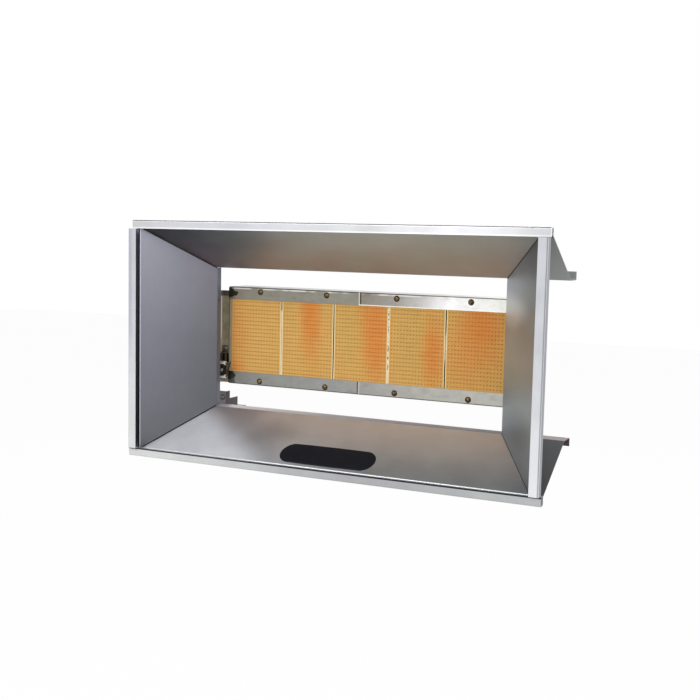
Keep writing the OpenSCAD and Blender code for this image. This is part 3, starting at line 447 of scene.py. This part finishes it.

# Stops run left to right on the top and bottom panel, and bottom to top on the side panels, where
# half is half the length; besides the sheet's tone they paint the light and shade across each panel
# and rim. The marks lie on the sheet, on the rim's colour, on the rim's inner leg and over its
# folds. Dull says how much less metallic the sheet is, and where.
panels = {
    "top_reflector": {
        **level, "slants": ["beyond"],
        "rim": [(0.0, (186, 186, 190)), (0.3, (190, 191, 196)), (0.62, (196, 197, 198)),
                (0.82, (218, 218, 222)), (1.0, (188, 190, 191))],
        "front": [(0.0, (66, 66, 66)), (0.14, (92, 96, 98)), (0.34, (150, 154, 152)),
                  (0.62, (172, 178, 172)), (1.0, (156, 160, 158))],
        "rear": [(0.1, (126, 110, 116)), (0.3, (171, 163, 159)), (0.55, (171, 166, 158)),
                 (1.0, (172, 170, 163))],
        # painted light and shade on the wing beyond the right panel
        "sheetMarks": [((146, 149, 147), 1.0, outside)],
        "rimMarks": [],
        # painted shade on the rim's inner leg and a painted highlight along its bend; over the folds a
        # painted highlight low on the face, a painted shade line at its top edge, and the end face painted
        # white as painted light
        "legMarks": [((74, 72, 68), 1.0, levelLeg),
                     ((250, 250, 252), 1.0, levelLeg, ("z", 173.8, 174.4))],
        "foldMarks": [((250, 250, 252), 0.45, levelFace, ("z", 176.2, 174.2)),
                      ((48, 48, 50), 0.9, levelFace, ("z", 184.2, 184.9)),
                      ((250, 250, 252), 1.0, ("y", -128.5, -129.0), ("x", 335.4, 335.8))]},
    "bottom_reflector": {
        **level, "slants": ["beyond", "corner"],
        "rim": [(0.0, (208, 208, 208)), (0.3, (188, 189, 190)), (0.6, (170, 170, 172)),
                (1.0, (182, 184, 185))],
        "front": [(0.0, (236, 238, 244)), (0.3, (196, 199, 205)), (0.6, (144, 147, 150)),
                  (1.0, (125, 129, 133))],
        "rear": [(0.1, (154, 138, 140)), (0.3, (196, 190, 190)), (0.6, (200, 194, 191)),
                 (1.0, (192, 186, 182))],
        # a soft spot of painted shade, painted light and shade on the wing beyond the right panel, a painted
        # reflection on the left corner, and the rear flange painted lighter to the left and darker to the
        # right as light and shade
        "sheetMarks": [((110, 106, 106), 0.35, ("xy", -120, -75, 60, 40, 0.1)),
                       ((90, 90, 92), 1.0, outside),
                       ((214, 216, 222), 1.0, paintedReflectionCorner),
                       ([(0.12, (236, 232, 232)), (0.5, (150, 141, 140)), (0.85, (98, 86, 86))],
                        1.0, inFlange)],
        "rimMarks": [],
        # a painted highlight on the rim's inner leg, and a painted shadow line in the fold below it
        "legMarks": [((196, 198, 201), 1.0, levelLeg)],
        "foldMarks": [((34, 35, 38), 1.0, ("y", -137.1, -137.7), ("z", -175.3, -174.6))],
        "dull": (0.4, paintedReflectionCorner)},
    "left_reflector": {
        **upright, "slants": ["seam"],
        "rim": [(0.0, (218, 218, 218)), (0.5, (198, 200, 206)), (1.0, (178, 181, 186))],
        "front": [(0.0, (106, 106, 110)), (0.5, (122, 124, 135)), (1.0, (148, 150, 160))],
        "rear": [(0.0, (102, 104, 108)), (0.5, (112, 115, 121)), (1.0, (144, 140, 152))],
        "sheetMarks": [((102, 108, 122), 1.0, inFlange)],
        "rimMarks": [((150, 148, 172), 1.0, ("x", -329.0, -326.2, 0.4, 0.0), ("z", -80, 80))],
        # painted shade in the groove on the rim's inner leg and a painted highlight along its bend; over the
        # folds the seams' painted shadow
        "legMarks": [((16, 16, 20), 1.0, uprightLeg, ("x", -322.2, -321.5)),
                     ((196, 196, 212), 0.7, ("y", -134.4, -134.2), ("y", -132.9, -133.5))],
        "foldMarks": [seamShadow],
        "dull": (0.65, inFlange)},
    "right_reflector": {
        **upright, "slants": ["seam"],
        "rim": [(0.0, (228, 230, 232)), (0.5, (194, 196, 201)), (1.0, (184, 186, 190))],
        "front": [(0.0, (134, 136, 138)), (0.5, (160, 165, 164)), (1.0, (98, 99, 99))],
        "rear": [(0.0, (152, 154, 160)), (0.14, (146, 149, 155)), (0.26, (130, 136, 140)),
                 (0.5, (172, 184, 182)), (1.0, (160, 156, 168))],
        # a soft spot of painted shade low down, and a band of painted reflection higher up
        "sheetMarks": [((96, 100, 104), 0.4, ("zy", -92, -85, 40, 60, 0.2)),
                       ((238, 244, 242), 0.46, ("zy", 70, -40, 32, 76, 0.2))],
        "rimMarks": [],
        # the rim's inner leg painted lighter as painted light, a painted shade line along the rim's inner
        # edge, and the seams' painted shadow over the folds
        "legMarks": [((158, 160, 166), 1.0, uprightLeg, ("x", 332.5, 332.9))],
        "foldMarks": [((84, 84, 88), 0.55, ("x", 331.4, 331.8), ("x", 333.8, 333.4)), seamShadow]},
}


def panelFinish(name, spec):
    finish, tree, shader = newFinish(name + "Sheet", metallic=sheet["metallic"])
    place, axes = objectCoords(tree)
    for label in spec["slants"]:
        axes[label] = slanted(tree, axes, slants[label])
    half = spec["half"] * mm
    share = calc(tree, "DIVIDE", calc(tree, "ADD", axes[spec["along"]], half), 2 * half)
    wander = sway(tree, noise(tree, place, sheet["wanderScale"], detail=2.0), sheet["wander"])
    share = calc(tree, "ADD", share, wander)
    depth = fade(tree, axes["y"], sheet["frontEnd"] * mm, sheet["rearStart"] * mm)
    colour = blendTint(tree, depth, ramp(tree, share, spec["front"]), ramp(tree, share, spec["rear"]))
    colour = paintMarks(tree, colour, axes, spec["sheetMarks"], share)
    grain = useGrain(tree, spec["grainScale"], sheet["grain"], sheet["mottle"], sheet["mottleSize"])
    colour = toned(tree, colour, grain["Tone"])
    rim = toned(tree, ramp(tree, share, spec["rim"]), grain["Tone"])
    rim = paintMarks(tree, rim, axes, spec["rimMarks"])
    colour = paintMarks(tree, colour, axes, spec["legMarks"])
    colour = blendTint(tree, maskOf(tree, axes, [spec["face"]]), colour, rim)
    colour = paintMarks(tree, colour, axes, spec["foldMarks"])
    tree.links.new(colour, shader.inputs["Base Color"])
    if "dull" in spec:
        strength, *shapes = spec["dull"]
        dull = times(tree, maskOf(tree, axes, shapes), strength)
        tree.links.new(calc(tree, "SUBTRACT", sheet["metallic"], dull), shader.inputs["Metallic"])
    roughened(tree, shader, sheet["leastRough"], grain["Mottle"], sheet["roughSpread"])
    bumped(tree, shader, grain["Height"], sheet["bumpDepth"], sheet["bumpStrength"])
    return finish


for panelName, panelSpec in panels.items():
    dress([panelName], panelFinish(panelName, panelSpec))
print("reflector panels: finished")


# ceramic tiles and the fibre between them, lengths in mm

tiles = {
    "count": 5, "pitch": 94, "middleUp": 2, "roughness": 0.85, "specular": 0.25,
    "gold": (206, 162, 90), "orange": (210, 132, 62), "olive": (198, 160, 88),
    "olivePatches": [(-16, 20, 34, 70, 0.3, 0.8), (84, 10, 36, 80, 0.3, 0.9),
                     (-128, 40, 18, 40, 0.2, 0.5)],
    "orangePatches": [(-228, 6, 44, 96, 0.0, 0.45), (-228, -50, 26, 30, 0.0, 0.7),
                      (-90, 42, 26, 88, 0.05, 1.0), (-84, 10, 30, 96, 0.0, 0.4),
                      (26, 16, 34, 110, 0.2, 0.95), (8, 50, 28, 66, 0.0, 0.4),
                      (120, -4, 27, 80, 0.05, 0.95), (196, 40, 52, 72, 0.05, 1.0),
                      (176, -6, 66, 90, 0.0, 0.5), (212, 14, 30, 80, 0.0, 0.3)],
    # noise scale and width of the patches' ragged outline
    "raggedAcross": (60.0, 0.022), "raggedUp": (34.0, 0.03),
    "grainScale": (700.0, 700.0, 700.0), "grain": 0.3, "mottle": 0.16, "mottleSize": 80.0,
    "holePitch": (5.2, 6.2), "holeRadius": 1.25, "holeSoft": 0.4, "hole": (128, 80, 34), "holeDark": 0.9,
    "pinRadius": 0.5, "pinSoft": 0.3, "pinDark": 0.4,
    "frontFace": ("y", 2.8, 2.2), "pitFloor": ("y", 1.45, 1.7),
    "pit": (236, 190, 116), "pitScreen": 0.5, "pitPaintedLight": 0.9, "pitPaintedGlow": 0.45,
    "edge": (236, 222, 178), "edgeFrom": (44.6, 45.2), "edgeRagged": (900.0, 0.0008),
    "inRow": ("|x|", 233.0, 232.5),
    "sideWalls": ("y", 1.5, 1.8), "slit": (40, 34, 14),
    "bumpDepth": 0.5, "bumpStrength": 0.5, "grainHeight": 0.3, "holeHeight": 0.5,
}

# dark slits in the fibre: a faint line down the first gap, dark at its top and foot, all of the
# second gap, specks in the third, and the fourth dark at top and foot and fainter between
gaps = {
    "slits": [(-141, 62, 1.3, 19, 0.85, 1.0), (-141, -64, 1.3, 8, 0.85, 1.0),
              (-141, 0, 1.0, 90, 0.5, 0.4), (-47.3, 0, 1.3, 90, 0.92, 1.0),
              (141, 48, 1.3, 30, 0.8, 1.0), (141, -42, 1.3, 34, 0.8, 1.0),
              (141, 4, 1.2, 70, 0.9, 0.5)],
    "specked": (47, 0, 1.3, 90, 0.9, 1.0), "speckScale": 260.0, "speckFrom": (0.5, 0.6),
}

fibre = {
    "roughness": 0.95, "specular": 0.1,
    "lintScale": (900.0, 900.0, 350.0),
    "lint": [(0.3, (176, 166, 140)), (0.5, (226, 216, 190)), (0.75, (246, 242, 228))],
    "slit": (30, 26, 10),
    "endMarks": [((146, 132, 104), 0.9, ("|x|", 233.5, 234.5))],
    "bumpDepth": 0.4, "bumpStrength": 0.7,
}


def gapSlits(tree, place, axes):
    slits = anySpot(tree, axes["x"], axes["z"], gaps["slits"])
    specks = fade(tree, noise(tree, place, gaps["speckScale"]), *gaps["speckFrom"])
    specked = spotMask(tree, axes["x"], axes["z"], gaps["specked"])
    return most(tree, slits, times(tree, specks, specked))


def holeRows(tree, across, up, pitch, radius, soft):
    return useGroup(tree, holeGrid, {
        "Across": across, "Up": up, "Pitch Across": pitch[0] * mm, "Pitch Up": pitch[1] * mm,
        "Radius": radius * mm, "Soft": soft * mm})["Hole"]


def tileHoles(tree, across, up, spec):
    # the rows of holes, and fainter pinholes halfway between them
    pitch = spec["holePitch"]
    holes = holeRows(tree, across, up, pitch, spec["holeRadius"], spec["holeSoft"])
    shiftedAcross = calc(tree, "ADD", across, pitch[0] * mm / 2)
    shiftedUp = calc(tree, "ADD", up, pitch[1] * mm / 2)
    pins = holeRows(tree, shiftedAcross, shiftedUp, pitch, spec["pinRadius"], spec["pinSoft"])
    return most(tree, holes, times(tree, pins, spec["pinDark"]))


def ragged(tree, place, value, scale, amount, detail=3.0):
    return calc(tree, "ADD", value, sway(tree, noise(tree, place, scale, detail), amount))


def tileFinish(spec):
    finish, tree, shader = newFinish(
        "perforatedCeramic", roughness=spec["roughness"], specular=spec["specular"])
    place, axes = objectCoords(tree)
    # across counts from the middle of each tile, up from the middle of the row
    pitch = spec["pitch"] * mm
    column = calc(tree, "FLOORED_MODULO", calc(tree, "ADD", axes["x"], spec["count"] / 2 * pitch), pitch)
    across = calc(tree, "SUBTRACT", column, pitch / 2)
    up = calc(tree, "SUBTRACT", axes["z"], spec["middleUp"] * mm)
    raggedX = ragged(tree, place, axes["x"], *spec["raggedAcross"])
    raggedZ = ragged(tree, place, axes["z"], *spec["raggedUp"])
    colour = spec["gold"]
    for patches, new in ((spec["olivePatches"], spec["olive"]), (spec["orangePatches"], spec["orange"])):
        for patch in patches:
            colour = blendTint(tree, spotMask(tree, raggedX, raggedZ, patch), colour, new)
    grain = useGrain(tree, spec["grainScale"], spec["grain"], spec["mottle"], spec["mottleSize"])
    front = maskOf(tree, axes, [spec["frontFace"]])
    # the holes, and the fainter pinholes, painted darker as painted shade in them
    holes = times(tree, tileHoles(tree, across, up, spec), front)
    colour = paint(tree, toned(tree, colour, grain["Tone"]), holes, spec["holeDark"], spec["hole"])
    # painted light: the pits' walls screened lighter, to fill their shade
    inside = times(tree, maskOf(tree, axes, [spec["pitFloor"]]), front)
    lit = blendTint(tree, spec["pitScreen"], colour, spec["pit"], "SCREEN")
    colour = paint(tree, colour, inside, spec["pitPaintedLight"], lit)
    reach = ragged(tree, place, calc(tree, "ABSOLUTE", across), *spec["edgeRagged"], detail=2.0)
    edge = fade(tree, reach, spec["edgeFrom"][0] * mm, spec["edgeFrom"][1] * mm)
    colour = paint(tree, colour, edge, maskOf(tree, axes, [spec["inRow"]]), spec["edge"])
    walls = maskOf(tree, axes, [spec["sideWalls"]])
    colour = paint(tree, colour, gapSlits(tree, place, axes), walls, spec["slit"])
    tree.links.new(colour, shader.inputs["Base Color"])
    # painted light: the pits glow in the tile's colour, to fill the shade in them
    tree.links.new(colour, shader.inputs["Emission Color"])
    tree.links.new(times(tree, inside, spec["pitPaintedGlow"]), shader.inputs["Emission Strength"])
    height = calc(tree, "SUBTRACT", times(tree, grain["Height"], spec["grainHeight"]),
                  times(tree, holes, spec["holeHeight"]))
    bumped(tree, shader, height, spec["bumpDepth"], spec["bumpStrength"])
    return finish


def fibreFinish(spec):
    finish, tree, shader = newFinish("ceramicFibre", roughness=spec["roughness"], specular=spec["specular"])
    place, axes = objectCoords(tree)
    lint = noise(tree, stretch(tree, place, spec["lintScale"]), 1.0, detail=5.0, roughness=0.7)
    colour = ramp(tree, lint, spec["lint"])
    colour = blendTint(tree, gapSlits(tree, place, axes), colour, spec["slit"])
    colour = paintMarks(tree, colour, axes, spec["endMarks"])
    tree.links.new(colour, shader.inputs["Base Color"])
    bumped(tree, shader, lint, spec["bumpDepth"], spec["bumpStrength"])
    return finish


dress(["tile_%d" % i for i in range(1, tiles["count"] + 1)], tileFinish(tiles))
dress(["tile_gasket"], fibreFinish(fibre))
print("tiles and fibre: finished")


# clamp strips, lengths in mm

strips = {
    "length": 240, "rowMiddle": 2, "middleOut": 69.8, "metallic": 0.75,
    "stainScale": (40.0, 40.0, 110.0), "stainFrom": (0.5, 0.72), "stain": (96, 86, 74),
    "raggedScale": 190.0, "ragged": 0.007,
    "streakScale": (22.0, 1.0, 1.0), "streakFrom": (0.42, 0.56), "streakBright": 0.7,
    "grainScale": (90.0, 900.0, 900.0), "grain": 0.3, "mottle": 0.3, "mottleSize": 55.0,
    "leastRough": 0.3, "roughSpread": 0.22, "bumpDepth": 0.08, "bumpStrength": 0.6,
    # dark rings round the screws' heads
    "ring": (34, 28, 16), "ringDark": 0.95, "ringHalf": 5.1, "ringCore": 0.9,
}

# two lines at the left end of the right strips, which lap over the left ones, a painted highlight
# and a painted shade: at the top the bright one first and then the dark one, at the bottom the other way
# round
lapFirst = [("x", -1.5, -1.9)]
lapSecond = [("x", -1.9, -1.5), ("x", 0.9, 0.4)]
lapBright, lapDark = (244, 238, 228), (44, 36, 30)
# painted shade along the strips' outer edges
outerEdge = ("out", 8.6, 9.0)
topEdges = {
    "streak": (236, 232, 226), "streakEdges": [("out", 6.2, 6.8), ("out", 8.8, 8.4)],
    "edgeMarks": [((58, 52, 48), 0.85, outerEdge)], "ringUp": 74.7}
bottomEdges = {"edgeMarks": [((66, 60, 60), 0.85, outerEdge)], "ringUp": -71.3}

# Out is the distance from the strip's middle, counted away from the tiles. The stops give each
# strip's tone together with painted light along it. Burns are spots with a ragged outline, and soot
# is how much of the stain shows.
clamps = {
    "clamp_top_left": {
        **topEdges, "start": -240, "screws": (-180, -60), "soot": 0.3,
        "stops": [(0.0, (138, 134, 122)), (0.5, (136, 133, 122)), (1.0, (140, 138, 126))],
        "burn": (34, 30, 18), "burnDark": 0.95,
        "burnSpots": [(-237, 72, 11, 9, 0.75, 1.0), (-229, 71, 7, 5.5, 0.7, 1.0)]},
    "clamp_top_right": {
        **topEdges, "start": 0, "screws": (60, 180), "soot": 0.2,
        "stops": [(0.0, (134, 128, 118)), (0.25, (156, 152, 146)), (0.42, (190, 188, 186)),
                  (0.6, (246, 244, 246)), (1.0, (228, 230, 222))],
        # the lap's painted highlight and shade, and a painted highlight along the strip's inner edge
        "lapMarks": [(lapBright, 0.55, *lapFirst), (lapDark, 0.9, *lapSecond),
                     ((248, 242, 230), 0.8, ("out", -8.4, -8.9))]},
    "clamp_bottom_left": {
        **bottomEdges, "start": -240, "screws": (-180, -60), "soot": 0.25,
        "stops": [(0.0, (136, 136, 132)), (0.6, (146, 147, 144)), (1.0, (152, 152, 150))],
        "burn": (36, 36, 28), "burnDark": 0.92,
        "burnSpots": [(-237, -64, 12.5, 8.5, 0.75, 1.0), (-237, -73, 12, 12, 0.7, 0.7)]},
    "clamp_bottom_right": {
        **bottomEdges, "start": 0, "screws": (60, 180), "soot": 0.25,
        "stops": [(0.0, (156, 154, 152)), (0.5, (176, 175, 168)), (1.0, (182, 182, 174))],
        "lapMarks": [(lapBright, 0.25, *lapSecond), (lapDark, 0.9, *lapFirst)]},
}


def clampFinish(name, spec):
    finish, tree, shader = newFinish(name + "Steel", metallic=strips["metallic"])
    place, axes = objectCoords(tree)
    x, z = axes["x"], axes["z"]
    away = calc(tree, "ABSOLUTE", calc(tree, "SUBTRACT", z, strips["rowMiddle"] * mm))
    axes["out"] = calc(tree, "SUBTRACT", away, strips["middleOut"] * mm)
    fromStart = calc(tree, "SUBTRACT", x, spec["start"] * mm)
    colour = ramp(tree, calc(tree, "DIVIDE", fromStart, strips["length"] * mm), spec["stops"])
    stain = noise(tree, stretch(tree, place, strips["stainScale"]), 1.0, detail=5.0, roughness=0.65)
    stained = fade(tree, stain, *strips["stainFrom"])
    colour = paint(tree, colour, stained, spec["soot"], strips["stain"])
    if "burn" in spec:
        rags = sway(tree, noise(tree, place, strips["raggedScale"]), strips["ragged"])
        raggedX, raggedZ = (calc(tree, "ADD", axis, rags) for axis in (x, z))
        burnt = anySpot(tree, raggedX, raggedZ, spec["burnSpots"])
        colour = paint(tree, colour, burnt, spec["burnDark"], spec["burn"])
    if "streak" in spec:
        # painted highlight: bright streaks along the fold beside the outer edge
        pattern = noise(tree, stretch(tree, place, strips["streakScale"]), 1.0, detail=2.0)
        streaks = times(tree, fade(tree, pattern, *strips["streakFrom"]), strips["streakBright"])
        folded = maskOf(tree, axes, spec["streakEdges"])
        colour = paint(tree, colour, folded, streaks, spec["streak"])
    ringHalf, ringCore = strips["ringHalf"], strips["ringCore"]
    rings = [(strips["ring"], strips["ringDark"],
              ("xz", across, spec["ringUp"], ringHalf, ringHalf, ringCore)) for across in spec["screws"]]
    colour = paintMarks(tree, colour, axes, spec["edgeMarks"] + spec.get("lapMarks", []) + rings)
    grain = useGrain(tree, strips["grainScale"], strips["grain"], strips["mottle"], strips["mottleSize"])
    tree.links.new(toned(tree, colour, grain["Tone"]), shader.inputs["Base Color"])
    roughened(tree, shader, strips["leastRough"], stain, strips["roughSpread"])
    bumped(tree, shader, grain["Height"], strips["bumpDepth"], strips["bumpStrength"])
    return finish


for clampName, clampSpec in clamps.items():
    dress([clampName], clampFinish(clampName, clampSpec))
print("clamp strips: finished")


# plainer metals, ceramic, rubber and plastic

plain = {"secondFrom": (0.42, 0.68), "roughBelow": 0.06, "roughSpread": 0.12, "bumpStrength": 0.6}

# colour, second colour of the mottle, metallic, roughness, grain scale, grain, mottle size, bump
# depth in mm
finishes = {
    "darkZinc": ((128, 126, 118), (70, 68, 60), 0.6, 0.5, (900, 900, 900), 0.3, 220, 0.04),
    "boxSteel": ((190, 190, 188), (172, 170, 165), 0.85, 0.36, (300, 300, 300), 0.2, 28, 0.06),
    "brassScrew": ((124, 102, 62), (54, 40, 20), 0.8, 0.36, (900, 900, 900), 0.3, 260, 0.04),
    "zincScrew": ((206, 208, 210), (150, 150, 150), 0.95, 0.3, (900, 900, 900), 0.2, 220, 0.04),
    "bracketSteel": ((158, 149, 126), (136, 128, 104), 0.15, 0.6, (700, 700, 160), 0.25, 60, 0.06),
    "slottedSteel": ((112, 108, 92), (70, 64, 52), 0.6, 0.48, (700, 700, 700), 0.25, 90, 0.06),
    "blackIron": ((34, 33, 32), (62, 56, 48), 0.5, 0.6, (500, 500, 500), 0.3, 200, 0.2),
    "whitePorcelain": ((240, 238, 230), (214, 208, 192), 0.0, 0.18, (400, 400, 400), 0.06, 120, 0.03),
    "electrodeWire": ((50, 46, 42), (96, 72, 50), 0.8, 0.45, (900, 900, 900), 0.3, 300, 0.04),
    "blackSilicone": ((28, 28, 30), (44, 44, 46), 0.0, 0.55, (900, 900, 900), 0.1, 150, 0.05),
    "redSilicone": ((158, 34, 26), (122, 22, 18), 0.0, 0.5, (900, 900, 900), 0.1, 150, 0.05),
    "shelfSteel": ((134, 127, 132), (116, 110, 114), 0.4, 0.5, (200, 900, 900), 0.2, 60, 0.06),
    "plateZinc": ((184, 184, 182), (160, 160, 156), 0.85, 0.4, (900, 900, 900), 0.15, 60, 0.04),
    "valveCasting": ((164, 166, 168), (128, 128, 128), 0.85, 0.5, (600, 600, 600), 0.25, 180, 0.2),
    "blackPlastic": ((26, 26, 27), (40, 40, 42), 0.0, 0.42, (1200, 1200, 1200), 0.1, 400, 0.08),
    "pipeAluminium": ((198, 200, 202), (164, 166, 168), 0.9, 0.34, (900, 900, 900), 0.15, 90, 0.04),
    "brassFitting": ((196, 160, 92), (150, 112, 58), 0.95, 0.28, (900, 900, 900), 0.2, 120, 0.04),
}

shadedFront = ("y", 3.0, 5.0, 0.9, 0.0)
finishMarks = {
    # painted shade on the front edges, darkest at the top
    "boxSteel": [((142, 138, 126), 1.0, shadedFront),
                 ((40, 36, 32), 1.0, shadedFront, ("z", 81.2, 81.6))],
    # a painted highlight down the bend of the upper half, painted shade at the top, and painted shade behind
    # the slot
    "bracketSteel": [((255, 255, 255), 1.0, ("y", -5.0, -4.4), ("y", -1.8, -2.4), ("z", -14, 10, 0.3, 0.95)),
                     ((56, 50, 44), 0.8, ("z", 65.5, 66.8)),
                     ((6, 6, 5), 1.0, ("xz", -246, -36, 12, 9.5, 0.8))],
    # the step's wall painted darker as shade, and a dark ring round its screw
    "shelfSteel": [((60, 54, 58), 0.9, ("x", -243.6, -243.2)),
                   ((50, 48, 50), 0.85, ("xz", -250, -102.8, 5.2, 5.2, 0.85))],
}

wearers = {
    "boxSteel": ["burner_box", "tile_ledge", "mixing_tube", "gas_baffle"],
    "brassScrew": ["clamp_screws"],
    "zincScrew": ["tab_screws", "module_screws"],
    "darkZinc": ["electrode_screws", "bracket_screws", "shelf_screws"],
    "bracketSteel": ["left_end_bracket", "right_end_bracket"],
    "slottedSteel": ["electrode_bracket"],
    "plateZinc": ["module_bracket"],
    "blackIron": ["electrode_clamp"],
    "whitePorcelain": ["spark_insulator", "sensor_insulator"],
    "electrodeWire": ["spark_rod", "sensor_rod"],
    "blackSilicone": ["sensor_lead"],
    "redSilicone": ["spark_lead"],
    "shelfSteel": ["control_shelf"],
    "valveCasting": ["gas_valve", "valve_bonnet"],
    "blackPlastic": ["valve_knob", "ignition_module"],
    "pipeAluminium": ["supply_pipe"],
    "brassFitting": ["orifice_elbow"],
}


def plainFinish(name, facts):
    main, second, metallic, roughness, grainScale, grainShare, mottleSize, depth = facts
    finish, tree, shader = newFinish(name, metallic=metallic)
    grain = useGrain(tree, grainScale, grainShare, 0.0, mottleSize)
    colour = blendTint(tree, fade(tree, grain["Mottle"], *plain["secondFrom"]), main, second)
    if name in finishMarks:
        colour = paintMarks(tree, colour, objectCoords(tree)[1], finishMarks[name])
    tree.links.new(toned(tree, colour, grain["Tone"]), shader.inputs["Base Color"])
    roughened(tree, shader, roughness - plain["roughBelow"], grain["Mottle"], plain["roughSpread"])
    bumped(tree, shader, grain["Height"], depth, plain["bumpStrength"])
    return finish


for finishName, facts in finishes.items():
    dress(wearers[finishName], plainFinish(finishName, facts))
print("small parts: %d finishes" % len(finishes))


# bare oval plate on the bottom panel, lengths in mm

badge = {
    # its centre lies across the panel and up its slope, counted from the slope's front bend
    "centre": (-0.5, 26.8), "halfLength": 78.2, "halfWidth": 21.7,
    "thick": 1.0, "crown": 0.3, "fullness": 14,
    "bend": (0, -129, -172.92), "slope": (0, 100, 59.8),
    "rings": 14, "ringSpread": 2.2, "around": 96, "endTurn": 4,
    "face": (16, 19, 26), "roughness": 0.5, "specular": 0.12,
    "grainScale": (500.0, 500.0, 500.0), "grain": 0.2, "mottle": 0.3, "mottleSize": 40.0,
    "bumpDepth": 0.03, "bumpStrength": 0.5,
}


def badgeFinish(spec):
    finish, tree, shader = newFinish("badgeLacquer", roughness=spec["roughness"], specular=spec["specular"])
    grain = useGrain(tree, spec["grainScale"], spec["grain"], spec["mottle"], spec["mottleSize"])
    tree.links.new(toned(tree, tint(spec["face"])[:3], grain["Tone"]), shader.inputs["Base Color"])
    bumped(tree, shader, grain["Height"], spec["bumpDepth"], spec["bumpStrength"])
    return finish


def ovalPlate(spec):
    # A pill outline shrunk towards its middle, ring by ring: a half circle at each end, whose
    # centres draw together with the rings. The height is a low crown that rounds off to the panel
    # at the rim: thick (1 - r^fullness) + crown (1 - r^2), where r falls from 1 at the rim.
    r = (1 - np.linspace(0, 1, spec["rings"]) ** spec["ringSpread"])[:-1]
    a = np.linspace(0, 2 * np.pi, spec["around"], endpoint=False)
    radius, angle = np.meshgrid(r, a, indexing="ij")
    straight = spec["halfLength"] - spec["halfWidth"]
    side = np.sign(np.cos(angle)) * np.minimum(1, np.abs(np.cos(angle)) * spec["endTurn"])
    across = spec["centre"][0] + radius * (spec["halfWidth"] * np.cos(angle) + straight * side)
    rise = spec["centre"][1] + radius * spec["halfWidth"] * np.sin(angle)
    out = spec["thick"] * (1 - radius ** spec["fullness"]) + spec["crown"] * (1 - radius ** 2)
    slope = Vector(spec["slope"]).normalized()
    right = Vector((1, 0, 0))
    directions = [np.array(v) for v in (right, slope, right.cross(slope))]
    points = np.array(spec["bend"]) + sum(
        length[..., None] * direction for length, direction in zip((across, rise, out), directions))
    # quads between the rings, one face inside the last ring and one under the rim
    index = np.arange(radius.size).reshape(radius.shape)
    following = np.roll(index, -1, axis=1)
    quads = np.stack([index[:-1], following[:-1], following[1:], index[1:]], -1).reshape(-1, 4)
    faces = quads.tolist() + [index[-1].tolist(), index[0][::-1].tolist()]
    mesh = bpy.data.meshes.new("badgePlate")
    mesh.from_pydata((points.reshape(-1, 3) * mm).tolist(), [], faces)
    mesh.polygons.foreach_set("use_smooth", [len(face) == 4 for face in faces])
    mesh.update()
    mesh.materials.append(badgeFinish(spec))
    plate = bpy.data.objects.new("badgePlate", mesh)
    bpy.context.scene.collection.objects.link(plate)
    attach(plate, "heater")


ovalPlate(badge)
print("oval plate: placed")
